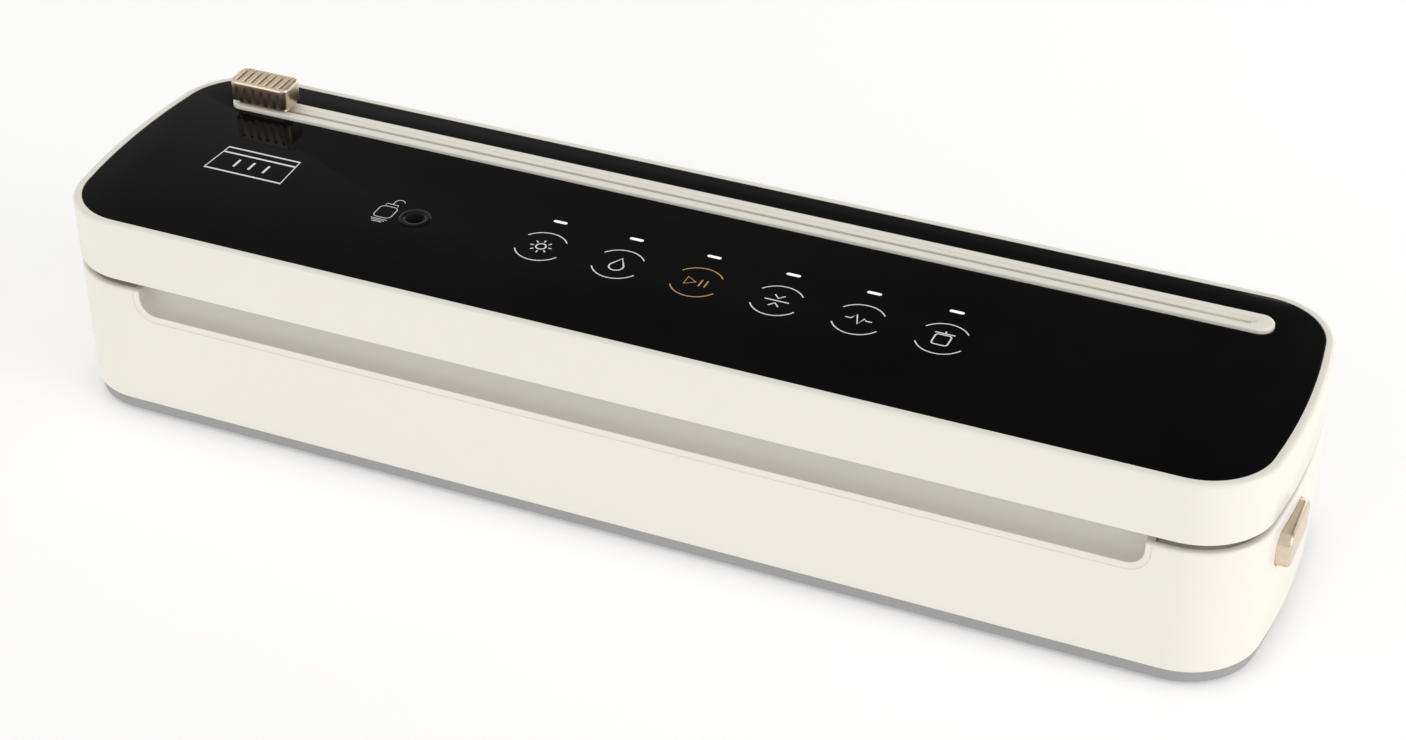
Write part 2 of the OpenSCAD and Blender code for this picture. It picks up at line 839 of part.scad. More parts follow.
module valve_plunger() {
    color(steel) union() {
        along_x(valve_x + 3, coil_x + 19, valve_y, valve_z, 2.4);
        along_x(coil_x + 18, coil_x + 19.2, valve_y, valve_z, 3.6);
    }
}

module valve_hose() {
    y1 = valve_y - hose_bend;
    color([0.85, 0.86, 0.85]) difference() {
        union() {
            along_y(valve_x, chamber_rear + 1, y1 + eps, suction_z, hose_r + hose_t);
            translate([valve_x, y1, suction_z]) rotate([0, 90, 0]) bend(hose_r + hose_t);
            along_z(valve_x, valve_y, valve_z, suction_z - hose_bend + eps, hose_r + hose_t);
        }
        along_y(valve_x, chamber_rear, chamber_rear + 5.5, suction_z, hose_r);
        along_x(valve_x - 1, valve_x + 5, valve_y, valve_z, 3.4);
    }
}

// ---- Electronics ----

module power_board() {
    color(board_green) difference() {
        box(board_x, board_x + board_l, board_y, board_y + board_w, board_z + seat, board_top);
        for (p = STANDOFFS)
            along_z(p[0], p[1], board_z - 1, board_z + 3, 1.5);
    }
}

module transformer() {
    x = board_x + 18;
    y = board_y + 20;
    z = part_z;
    color([0.85, 0.75, 0.20]) union() {
        box(x - 8, x + 18, y - 9, y + 9, z, z + 2);
        box(x - 5, x + 15, y - 11, y + 11, z + 2, z + 13);
    }
}

// Capacitors: [x, y, radius] from the board's corner
module capacitors() {
    color([0.15, 0.16, 0.30])
        for (p = [[44, 12, 5], [56, 12, 5], [44, 28, 4], [54, 30, 3], [62, 30, 3]])
            along_z(board_x + p[0], board_y + p[1], part_z, part_z + 12, p[2]);
}

module heat_sink() {
    x = board_x + 72;
    h = 14;
    fin_n = 5;
    fin_pitch = 3.5;
    fin_t = 1.4;
    color([0.6, 0.6, 0.62]) union() {
        box(x, x + 16, board_y + 8, board_y + 10, part_z, part_z + h);
        for (i = [0:fin_n - 1])
            box(x + i * fin_pitch, x + i * fin_pitch + fin_t, board_y + 9.9, board_y + 16, part_z, part_z + h);
    }
}

module inlet_socket() {
    y1 = body_w / 2 - 0.3;
    color(dark) difference() {
        union() {
            translate([inlet_x, y1, inlet_z]) rotate([90, 0, 0])
                linear_extrude(inlet_d) rounded(inlet_w, inlet_h, 3.2);
            box(inlet_x - inlet_w / 2 - 2, inlet_x + inlet_w / 2 + 2, y1 - inlet_d, body_w / 2 - wall - 3.1,
                inlet_z - inlet_h / 2 - 2, inlet_z + inlet_h / 2 + 2);
        }
        translate([inlet_x, y1 + 1, inlet_z]) rotate([90, 0, 0])
            linear_extrude(inlet_d - 3) rounded(inlet_w - 2.4, inlet_h - 1.6, 2.8);
        for (x = [-4.3, 4.3])
            along_y(inlet_x + x, y1 - inlet_d - 1, y1, inlet_z, 1.2);
    }
}

module inlet_pins() {
    y1 = body_w / 2 - 0.3;
    color([0.82, 0.70, 0.40])
        for (x = [-4.3, 4.3])
            along_y(inlet_x + x, y1 - inlet_d - 4, y1 - 4, inlet_z, 1.2);
}

module lid_switch() {
    z1 = z_under - 0.1;
    color(dark) difference() {
        box(switch_x - 6.4, switch_x + 6.4, switch_y - 3, switch_y + 3, z1 - 9, z1);
        along_z(switch_x, switch_y, z1 - 6, z1 + 1, 1.2);
    }
}

module switch_plunger() {
    color([0.75, 0.15, 0.12]) along_z(switch_x, switch_y, z_under - 5, z_liner - 0.3, 1.05);
}

// Two wires from the mains inlet, one to the pump motor and one to the valve
module wiring() {
    zb = board_z + 2.6;
    y_bus = board_y + board_w + 3;
    color([0.70, 0.12, 0.10]) swept([
        [inlet_x - 4, body_w / 2 - inlet_d - 7, inlet_z], [inlet_x - 4, 24, inlet_z - 2],
        [inlet_x - 3, 18, inlet_z - 8], [inlet_x + 1, 10, zb + 2], [inlet_x + 4, 2, zb],
        [board_x + 10, board_y + board_w - 4, zb]
    ], 0.9, 8, [0, 0, 1]);
    color([0.12, 0.12, 0.14]) swept([
        [inlet_x + 4, body_w / 2 - inlet_d - 7, inlet_z], [inlet_x + 4, 24, inlet_z - 2],
        [inlet_x + 6, 18, inlet_z - 8], [inlet_x + 9, 10, zb + 2], [inlet_x + 10, 3, zb],
        [board_x + 15, board_y + board_w - 4, zb]
    ], 0.9, 8, [0, 0, 1]);
    color([0.85, 0.85, 0.80]) swept([
        [board_x + board_l - 3, board_y + 20, zb], [-40, board_y + 21, zb], [-20, board_y + 24, zb],
        [0, board_y + 26, zb], [40, board_y + 27, zb], [80, board_y + 27, zb], [100, 2, zb],
        [104, 20, zb + 2], [97, 28, pump_z - 2], [motor_x + motor_l + 3, pump_y + 6, pump_z]
    ], 0.9, 8, [0, 0, 1]);
    color([0.20, 0.35, 0.70]) swept([
        [board_x + board_l - 3, board_y + 26, zb], [-40, y_bus - 3, zb], [-34, 10, zb],
        [-34, 24, zb], [coil_x + 22, valve_y - 9, valve_z - 4], [coil_x + 13, valve_y - 7.4, valve_z - 5]
    ], 0.8, 8, [0, 0, 1]);
}

// ---- Latch ----

module release_button(side) {
    on_side(side) color(bronze) union() {
        translate([button_in, button_y, button_z]) rotate([90, 0, 90])
            linear_extrude(button_face - button_in - button_edge) rounded(button_w, button_h, button_r);
        translate([button_face - button_edge - eps, button_y, button_z]) rotate([90, 0, 90])
            linear_extrude(button_edge + eps)
                rounded(button_w - 2 * button_edge, button_h - 2 * button_edge, button_r - button_edge);
    }
}

module latch_slider(side) {
    low = frame_low;
    x0 = window_in - 8;
    y0 = button_y + SLIDE_Y[0];
    y1 = button_y + SLIDE_Y[1];
    on_side(side) color(white) difference() {
        union() {
            box(x0, button_in - seat, y0, y1, low, low + frame_t);
            for (y = [y0, y1 - runner_t])
                box(x0, button_in - seat, y, y + runner_t, low - runner_h, low + eps);
            box(x0, x0 + 3, spring_y - 3, spring_y + 3, low - 2, low + 4);
            along_x(x0 - 3, x0 + 0.1, spring_y, low + 1, 1.4);
        }
        box(window_in, window_out, y0 + 2.5, y1 - 2.5, low - 8, low + 5);
    }
}

module latch_spring(side) {
    low = frame_low;
    x0 = tray_x0 + tray_t + 0.1;
    x1 = window_in - 8.1;
    turns = 5;
    wire_r = 0.35;
    steps = 12;
    n = turns * steps;
    function coil_at(i) =
        [x0 + wire_r + (x1 - x0 - 2 * wire_r) * i / n,
         spring_y + (spring_r - wire_r) * cos(360 * i / steps),
         low + 1 + (spring_r - wire_r) * sin(360 * i / steps)];
    on_side(side) color(steel) swept([for (i = [0:n]) coil_at(i)], wire_r, 6, [1, 0, 0]);
}

module lid_hook(side) {
    low = frame_low - 3.1;
    y0 = button_y - hook_w / 2;
    y1 = button_y + hook_w / 2;
    on_side(side) color(white) union() {
        box(hook_x, hook_x + hook_t, y0, y1, low, z_liner - 1.9);
        box(window_in + 0.3, hook_x + 0.1, y0, y1, low, low + 2.4);
        box(hook_x - 5, hook_x + 5, y0 - 2, y1 + 2, z_liner - 2, z_liner - seat);
    }
}

module release_button_left() {
    release_button(-1);
}

module release_button_right() {
    release_button(1);
}

module latch_slider_left() {
    latch_slider(-1);
}

module latch_slider_right() {
    latch_slider(1);
}

module latch_spring_left() {
    latch_spring(-1);
}

module latch_spring_right() {
    latch_spring(1);
}

module lid_hook_left() {
    lid_hook(-1);
}

module lid_hook_right() {
    lid_hook(1);
}

// ---- Lid ----

module lid_shell() {
    notch_l = knuckle_l + 2 * (side_fit + ear_l + side_fit);
    color(cream) difference() {
        union() {
            difference() {
                slab(z_lid, z_top, 0);
                slab(z_lid - 1, z_plate, wall);
                slab(z_glass, z_top + 1, rim_w);
                for (side = [-1, 1])
                    on_side(side) box(hinge_x - notch_l / 2, hinge_x + notch_l / 2, hinge_y - knuckle_r - 1,
                        body_w, z_lid - 1, hinge_z + knuckle_r + side_fit);
            }
            for (p = LID_POSTS)
                along_z(p[0], p[1], z_liner + plate_t + seat, z_plate + 0.5, lid_post_r);
            for (side = [-1, 1])
                lid_knuckle(side);
        }
        translate([0, rail_y, 0]) stadium(rail_l + 2 * (rail_fit + bed_end + bed_t) + 0.1,
            rail_w + 2 * (rail_fit + bed_t) + 0.1, z_plate - 1, z_top + 1);
        along_z(port_x, port_y, z_plate - 1, z_top, port_r + bush_t + bush_fit);
        for (i = [0:key_count - 1])
            light_box(i, light_fit, z_plate - 1, z_glass + 1);
        for (p = LID_POSTS)
            along_z(p[0], p[1], z_liner, z_plate - 1, 1);
        for (side = [-1, 1])
            along_x(side * hinge_x - 20, side * hinge_x + 20, hinge_y, hinge_z, pin_r + pin_fit);
    }
}

module touch_panel() {
    color(dark) difference() {
        slab(z_glass + seat, z_top, rim_w + 0.1);
        translate([0, rail_y, 0]) stadium(rail_l + 2 * rail_fit, rail_w + 2 * rail_fit, z_glass - 1, z_top + 1);
        along_z(port_x, port_y, z_glass - 1, z_top + 1, port_r + bush_t + bush_fit);
    }
}

// One status light's block, or the opening for it
module light_box(i, grow, z0, z1) {
    x = key_x - light_shift + i * key_pitch;
    l = light_l / 2 + grow;
    w = light_w / 2 + grow;
    box(x - l, x + l, light_y - w, light_y + w, z0, z1);
}

// Board under the keys, with its two chips
module touch_board() {
    x0 = key_x - key_r;
    x1 = key_x + (key_count - 1) * key_pitch + key_r;
    z1 = z_plate - board_gap;
    z0 = z1 - pcb_t;
    color(board_green) union() {
        box(x0, x1, key_y - key_r, light_y + 6, z0, z1);
        box(x0 + 40, x0 + 50, key_y - 5, key_y + 5, z0 - 1.4, z0 + eps);
        box(x0 + 70, x0 + 76, key_y - 4, key_y + 4, z0 - 1.6, z0 + eps);
    }
}

module indicator_leds() {
    color(white)
        for (i = [0:key_count - 1])
            light_box(i, 0, z_plate - board_gap + seat, z_glass);
}

module port_bush() {
    color(dark) difference() {
        union() {
            along_z(port_x, port_y, z_liner + 0.5, z_top + port_up, port_r + bush_t);
            along_z(port_x, port_y, z_liner + plate_t + seat, z_liner + plate_t + 1.5, port_r + collar_t);
        }
        along_z(port_x, port_y, z_liner, z_top + 1, port_r);
    }
}

module lid_liner() {
    color([0.86, 0.85, 0.82]) difference() {
        union() {
            intersection() {
                slab(z_liner, z_liner + plate_t, wall + fit);
                box(-body_l, body_l, -body_w, hinge_y - knuckle_r - 0.5, z_liner, z_top);
            }
            for (y = [bar_y - bar_w / 2 - 1.5, bar_y + bar_w / 2 + 0.1])
                box(-strip_l / 2 - 5, strip_l / 2 + 5, y, y + 1.4, z_liner - 1, z_liner + eps);
        }
        along_z(port_x, port_y, z_liner - 1, z_liner + plate_t + 1, port_r + bush_t + bush_fit / 2);
        for (p = LID_POSTS) {
            along_z(p[0], p[1], z_liner - 1, z_liner + plate_t + 1, 1.4);
            along_z(p[0], p[1], z_liner - 1, z_liner + 0.9, 2.6);
        }
        chamber_ring(z_liner - 1, z_liner + 0.8, 0.05);
        box(-strip_l / 2 - 4.2, strip_l / 2 + 4.2, bar_y - bar_w / 2 + 0.9, bar_y + bar_w / 2 - 0.9,
            z_liner - 1, z_liner + 1);
    }
}

module upper_gasket() {
    color(rubber) chamber_ring(hinge_z + 0.3, z_liner + 0.78, 0);
}

module pressure_strip() {
    color([0.25, 0.25, 0.26]) union() {
        box(-strip_l / 2 - 4, strip_l / 2 + 4, bar_y - bar_w / 2 + 1, bar_y + bar_w / 2 - 1,
            z_liner - 0.5, z_liner + 0.98);
        box(-strip_l / 2 - 4, strip_l / 2 + 4, bar_y - bar_w / 2 + 0.3, bar_y + bar_w / 2 - 0.3,
            z_deck + 1.1, z_liner - 0.49);
    }
}

module lid_screws() {
    color(steel)
        for (p = LID_POSTS) {
            along_z(p[0], p[1], z_liner - 0.6, z_liner + 0.88, 2.3);
            along_z(p[0], p[1], z_liner + 0.8, z_liner + 8, 0.98);
        }
}

// ---- Cutter ----

module cutter_bed() {
    l = rail_l + 2 * (rail_fit + bed_end);
    w = rail_w + 2 * rail_fit;
    color(cream) translate([0, rail_y, 0]) difference() {
        union() {
            difference() {
                stadium(l + 2 * bed_t, w + 2 * bed_t, bed_floor - bed_t, z_glass);
                stadium(l, w, bed_floor, z_glass + 1);
            }
            for (y = [-1, 1])
                box(slot_x0 - 3, slot_x1 - 6, y * 3.5 - 0.9, y * 3.5 + 0.9, bed_floor - 0.5, z_rail_low - 0.15);
        }
        along_y(pivot_x, -20, 20, pivot_z, pivot_r);
    }
}

module rail_pivot_pin() {
    half = rail_w / 2 + rail_fit + bed_t;
    color(steel) along_y(pivot_x, rail_y - half + 0.2, rail_y + half - 0.2, pivot_z, pivot_r);
}

module cutter_rail() {
    color(cream) translate([0, rail_y, 0]) difference() {
        union() {
            stadium(rail_l, rail_w, z_rail_low, z_rail);
            along_y(pivot_x, -rail_w / 2 + 0.5, rail_w / 2 - 0.5, pivot_z, lug_r);
        }
        stadium(rail_l - 10, groove_w, z_rail - groove_d, z_rail + 1);
        box(slot_x0, slot_x1, -slot_w / 2, slot_w / 2, z_rail_low - 1, z_rail);
        along_y(pivot_x, -20, 20, pivot_z, pivot_r + 0.06);
    }
}

module cutter_slider() {
    z0 = z_rail + slider_lift;
    rib_n = 7;
    rib_pitch = 2.5;
    side_pitch = 2.88;
    color(bronze) translate([slider_x, rail_y, 0]) difference() {
        union() {
            translate([0, 0, z0]) linear_extrude(slider_h - 0.7) rounded(slider_l, slider_w, 2.4);
            translate([0, 0, z0 + slider_h - 0.71]) linear_extrude(0.71)
                rounded(slider_l - 1.4, slider_w - 1.4, 1.8);
            box(-slider_l / 2 + 2, slider_l / 2 - 2, -slider_w / 2 + 1.4, slider_w / 2 - 1.4,
                z_rail + rail_gap, z0 + eps);
            box(-slider_l / 2 + 6, slider_l / 2 - 6, -groove_w / 2 + 0.2, groove_w / 2 - 0.2,
                z_rail - groove_d + rail_gap, z_rail + 0.2);
        }
        for (i = [0:rib_n - 1])
            box((i - 3) * rib_pitch - 0.35, (i - 3) * rib_pitch + 0.35, -slider_w / 2 + 1.2, slider_w / 2 - 1.2,
                z0 + slider_h - 0.6, z0 + slider_h + 1);
        for (i = [0:5])
            for (y = [-1, 1])
                along_z((i - 2.5) * side_pitch, y * (slider_w / 2 + 0.25), z0 - 1, z0 + slider_h - 1.4, 0.6);
        box(-blade_l / 2, blade_l / 2, -blade_t / 2, blade_t / 2, z_rail - 3, z0 + 2);
    }
}

module cutter_blade() {
    z1 = z_rail + slider_lift + 1.98;
    tip = z_rail_low - 2.4;
    blade_half = blade_l / 2 - eps;
    color(steel) translate([slider_x, rail_y, 0]) union() {
        translate([0, blade_t / 2 - eps, 0]) rotate([90, 0, 0]) linear_extrude(blade_t - 2 * eps)
            polygon([
                [-blade_half, z1], [blade_half, z1], [blade_half, z_rail_low - 1.2],
                [1.2, tip], [-1.2, tip], [-blade_half, z_rail_low - 1.2]
            ]);
        box(-blade_half + 1, blade_half - 1, -1.6, 1.6, z_rail_low - 1, z_rail_low - 0.2);
    }
}

lower_housing();
base_plate();
base_screws();
feet();
deck();
drip_tray();
lower_gasket();
heater_bar();
heating_strip();
heater_tape();
heater_terminals();
hinge_pin_left();
hinge_pin_right();
pump_head();
pump_diaphragm();
wobble_plate();
pump_housing();
motor_can();
motor_magnets();
pump_sleeve();
pump_bracket();
chamber_hose();
valve_coil();
valve_frame();
valve_hose();
power_board();
transformer();
capacitors();
heat_sink();
inlet_socket();
inlet_pins();
lid_switch();
wiring();
latch_spring_left();
latch_spring_right();
lid_shell();
touch_panel();
touch_board();
indicator_leds();
port_bush();
lid_liner();
upper_gasket();
pressure_strip();
lid_screws();
lid_hook_left();
lid_hook_right();
cutter_bed();
rail_pivot_pin();
cutter_rail();
cutter_slider();
cutter_blade();
release_button_left();
release_button_right();
latch_slider_left();
latch_slider_right();
motor_rotor();
eccentric();
valve_plunger();
switch_plunger();
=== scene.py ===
import bpy, bmesh, json, math
from mathutils import Matrix, Vector


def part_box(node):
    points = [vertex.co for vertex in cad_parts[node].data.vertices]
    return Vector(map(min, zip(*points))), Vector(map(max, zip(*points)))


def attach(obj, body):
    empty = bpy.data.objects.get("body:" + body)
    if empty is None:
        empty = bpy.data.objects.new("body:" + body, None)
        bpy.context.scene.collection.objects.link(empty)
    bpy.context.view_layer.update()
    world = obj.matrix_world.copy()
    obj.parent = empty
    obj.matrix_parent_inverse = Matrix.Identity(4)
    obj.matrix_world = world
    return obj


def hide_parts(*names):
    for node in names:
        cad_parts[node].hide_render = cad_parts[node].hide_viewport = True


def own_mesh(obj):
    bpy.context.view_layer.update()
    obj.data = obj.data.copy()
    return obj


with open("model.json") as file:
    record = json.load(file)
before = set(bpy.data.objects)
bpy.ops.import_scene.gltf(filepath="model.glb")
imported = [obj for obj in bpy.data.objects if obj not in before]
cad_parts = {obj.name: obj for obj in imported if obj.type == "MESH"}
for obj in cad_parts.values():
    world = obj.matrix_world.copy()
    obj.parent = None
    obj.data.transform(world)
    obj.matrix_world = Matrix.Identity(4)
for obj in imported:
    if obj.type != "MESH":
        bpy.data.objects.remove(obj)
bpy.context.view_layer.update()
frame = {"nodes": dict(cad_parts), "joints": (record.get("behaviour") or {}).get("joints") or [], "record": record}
MM = 0.001
PI = math.pi


# ---------- Materials ----------

MIX_A, MIX_B, MIX_RESULT = 6, 7, 2      # colour sockets of the Mix node


def tree(name):
    """A new material, its node tree and its Principled shader."""
    m = bpy.data.materials.new(name)
    m.use_nodes = True
    nt = m.node_tree
    return m, nt, nt.nodes["Principled BSDF"]


def add(nt, kind, **values):
    """A new node with its sockets or settings given by name."""
    n = nt.nodes.new(kind)
    for k, v in values.items():
        if k in n.inputs:
            n.inputs[k].default_value = v
        else:
            setattr(n, k, v)
    return n


def noise(nt, coord, scale, detail=3.0, rough=0.55, stretch=None):
    n = add(nt, "ShaderNodeTexNoise", Scale=scale, Detail=detail, Roughness=rough)
    source = coord.outputs["Object"]
    if stretch:
        mp = add(nt, "ShaderNodeMapping", Scale=stretch)
        nt.links.new(source, mp.inputs["Vector"])
        source = mp.outputs["Vector"]
    nt.links.new(source, n.inputs["Vector"])
    return n.outputs["Fac"]


def ramp(nt, value, a, b, low=0.35, high=0.65):
    """Maps low..high of a value to a..b."""
    n = add(nt, "ShaderNodeMapRange")
    n.inputs["From Min"].default_value = low
    n.inputs["From Max"].default_value = high
    n.inputs["To Min"].default_value = a
    n.inputs["To Max"].default_value = b
    nt.links.new(value, n.inputs["Value"])
    return n.outputs["Result"]


def mix(nt, fac, a, b):
    n = nt.nodes.new("ShaderNodeMix")
    n.data_type = "RGBA"
    nt.links.new(fac, n.inputs["Factor"])
    for socket, c in ((n.inputs[MIX_A], a), (n.inputs[MIX_B], b)):
        if isinstance(c, tuple):
            socket.default_value = (*c, 1)
        else:
            nt.links.new(c, socket)
    return n.outputs[MIX_RESULT]


def bump(nt, height, strength, distance, normal=None):
    n = add(nt, "ShaderNodeBump", Strength=strength, Distance=distance)
    nt.links.new(height, n.inputs["Height"])
    if normal:
        nt.links.new(normal, n.inputs["Normal"])
    return n.outputs["Normal"]


def shade(c, k):
    return tuple(min(1.0, max(0.0, x * k)) for x in c)


def plastic(name, colour, rough=0.35, spread=0.06, grain=900.0, relief=0.06, coat=0.0, spec=0.5,
            tint=0.035):
    """Moulded plastic: faint mottling in the colour, uneven polish, fine moulded grain."""
    m, nt, p = tree(name)
    co = nt.nodes.new("ShaderNodeTexCoord")
    broad = noise(nt, co, 14.0, 4.0)
    fine = noise(nt, co, grain, 2.0)
    worn = noise(nt, co, 75.0, 5.0, 0.65)
    c = mix(nt, ramp(nt, broad, 0.0, 1.0), shade(colour, 1 - tint), shade(colour, 1 + tint * 0.6))
    c = mix(nt, ramp(nt, fine, 0.0, 0.35), c, shade(colour, 1 - tint * 1.6))
    nt.links.new(c, p.inputs["Base Color"])
    nt.links.new(ramp(nt, worn, rough - spread, rough + spread), p.inputs["Roughness"])
    p.inputs["Specular IOR Level"].default_value = spec
    p.inputs["IOR"].default_value = 1.46
    p.inputs["Coat Weight"].default_value = coat
    p.inputs["Coat Roughness"].default_value = 0.12
    n = bump(nt, fine, relief, 0.00006)
    n = bump(nt, worn, relief * 0.6, 0.00008, n)
    nt.links.new(n, p.inputs["Normal"])
    return m


def metal(name, colour, rough=0.3, spread=0.08, stretch=None, scale=500.0, relief=0.08, tint=0.1,
          flake=0.0):
    """Metal: brushed along one axis when stretched, with small flakes when painted metallic."""
    m, nt, p = tree(name)
    co = nt.nodes.new("ShaderNodeTexCoord")
    lines = noise(nt, co, scale, 4.0, 0.6, stretch)
    broad = noise(nt, co, 40.0, 4.0)
    c = mix(nt, ramp(nt, lines, 0.0, 1.0), shade(colour, 1 - tint), shade(colour, 1 + tint))
    height = lines
    if flake:
        v = add(nt, "ShaderNodeTexVoronoi", Scale=6500.0)
        nt.links.new(co.outputs["Object"], v.inputs["Vector"])
        c = mix(nt, ramp(nt, v.outputs["Distance"], 0.0, flake, 0.1, 0.6), c, shade(colour, 1.35))
        height = v.outputs["Distance"]
    nt.links.new(c, p.inputs["Base Color"])
    nt.links.new(ramp(nt, broad, rough - spread, rough + spread), p.inputs["Roughness"])
    p.inputs["Metallic"].default_value = 1.0
    nt.links.new(bump(nt, height, relief, 0.00003), p.inputs["Normal"])
    return m


def rubber(name, colour, rough=0.75, cell=0.0, relief=0.25):
    """Rubber or foam: matt, with pores when cell is set."""
    m, nt, p = tree(name)
    co = nt.nodes.new("ShaderNodeTexCoord")
    fine = noise(nt, co, 1400.0, 3.0)
    broad = noise(nt, co, 30.0, 4.0)
    c = mix(nt, ramp(nt, broad, 0.0, 1.0), shade(colour, 0.8), shade(colour, 1.35))
    height = fine
    if cell:
        v = add(nt, "ShaderNodeTexVoronoi", Scale=cell)
        nt.links.new(co.outputs["Object"], v.inputs["Vector"])
        c = mix(nt, ramp(nt, v.outputs["Distance"], 0.0, 0.7, 0.05, 0.5), shade(colour, 0.5), c)
        height = v.outputs["Distance"]
    nt.links.new(c, p.inputs["Base Color"])
    nt.links.new(ramp(nt, fine, rough - 0.08, rough + 0.08), p.inputs["Roughness"])
    p.inputs["Specular IOR Level"].default_value = 0.35
    p.inputs["Sheen Weight"].default_value = 0.15
    nt.links.new(bump(nt, height, relief, 0.0001), p.inputs["Normal"])
    return m


def black_glass():
    """Back-painted glass: near black under a polished face with the faintest haze."""
    m, nt, p = tree("touch_glass")
    co = nt.nodes.new("ShaderNodeTexCoord")
    haze = noise(nt, co, 18.0, 6.0, 0.62)
    wipe = noise(nt, co, 60.0, 4.0, 0.6, (1.0, 9.0, 1.0))
    c = mix(nt, ramp(nt, haze, 0.0, 1.0), (0.0032, 0.0032, 0.0034), (0.0046, 0.0046, 0.0048))
    nt.links.new(c, p.inputs["Base Color"])
    nt.links.new(ramp(nt, wipe, 0.025, 0.06), p.inputs["Roughness"])
    p.inputs["Specular IOR Level"].default_value = 0.03
    p.inputs["IOR"].default_value = 1.45
    return m


def fibre(name, a, b, scale):
    """Woven glass cloth: two crossed sets of threads."""
    m, nt, p = tree(name)
    co = nt.nodes.new("ShaderNodeTexCoord")
    waves = []
    for direction in ("X", "Y"):
        w = add(nt, "ShaderNodeTexWave", Scale=scale, Distortion=0.4, wave_type="BANDS",
                bands_direction=direction)
        nt.links.new(co.outputs["Object"], w.inputs["Vector"])
        waves.append(w.outputs["Fac"])
    both = add(nt, "ShaderNodeMath", operation="MULTIPLY")
    nt.links.new(waves[0], both.inputs[0])
    nt.links.new(waves[1], both.inputs[1])
    nt.links.new(mix(nt, both.outputs[0], a, b), p.inputs["Base Color"])
    nt.links.new(ramp(nt, waves[0], 0.35, 0.55, 0.0, 1.0), p.inputs["Roughness"])
    nt.links.new(bump(nt, both.outputs[0], 0.4, 0.0001), p.inputs["Normal"])
    return m


def circuit(name):
    """Green solder mask with copper tracks just under it and bright pads."""
    m, nt, p = tree(name)
    co = nt.nodes.new("ShaderNodeTexCoord")
    b = add(nt, "ShaderNodeTexBrick", Scale=160.0)
    b.inputs["Mortar Size"].default_value = 0.045
    b.inputs["Color1"].default_value = (0, 0, 0, 1)
    b.inputs["Color2"].default_value = (0, 0, 0, 1)
    b.inputs["Mortar"].default_value = (1, 1, 1, 1)
    nt.links.new(co.outputs["Object"], b.inputs["Vector"])
    v = add(nt, "ShaderNodeTexVoronoi", Scale=210.0)
    nt.links.new(co.outputs["Object"], v.inputs["Vector"])
    c = mix(nt, b.outputs["Color"], (0.012, 0.10, 0.035), (0.03, 0.20, 0.07))
    pads = ramp(nt, v.outputs["Distance"], 1.0, 0.0, 0.10, 0.13)
    c = mix(nt, pads, c, (0.62, 0.58, 0.50))
    nt.links.new(c, p.inputs["Base Color"])
    nt.links.new(ramp(nt, pads, 0.32, 0.22, 0.0, 1.0), p.inputs["Roughness"])
    nt.links.new(bump(nt, b.outputs["Fac"], 0.2, 0.00005), p.inputs["Normal"])
    return m


def windings(name, a, b, scale, metallic=0.0):
    """Close-wound enamelled wire or wrapped tape: fine bands round the axis."""
    m, nt, p = tree(name)
    co = nt.nodes.new("ShaderNodeTexCoord")
    w = add(nt, "ShaderNodeTexWave", Scale=scale, Distortion=0.5, wave_type="BANDS",
            bands_direction="X")
    nt.links.new(co.outputs["Object"], w.inputs["Vector"])
    nt.links.new(mix(nt, w.outputs["Fac"], a, b), p.inputs["Base Color"])
    nt.links.new(ramp(nt, noise(nt, co, 200.0), 0.25, 0.45), p.inputs["Roughness"])
    p.inputs["Metallic"].default_value = metallic
    nt.links.new(bump(nt, w.outputs["Fac"], 0.4, 0.0001), p.inputs["Normal"])
    return m


def printed(name, colour, glow=0.0):
    """Screen-printed ink or a lit window, a little uneven."""
    m, nt, p = tree(name)
    co = nt.nodes.new("ShaderNodeTexCoord")
    speck = noise(nt, co, 1500.0, 3.0)
    c = mix(nt, ramp(nt, speck, 0.0, 1.0), shade(colour, 0.93), shade(colour, 1.0))
    nt.links.new(c, p.inputs["Base Color"])
    nt.links.new(ramp(nt, speck, 0.35, 0.5), p.inputs["Roughness"])
    if glow:
        nt.links.new(c, p.inputs["Emission Color"])
        p.inputs["Emission Strength"].default_value = glow
    return m


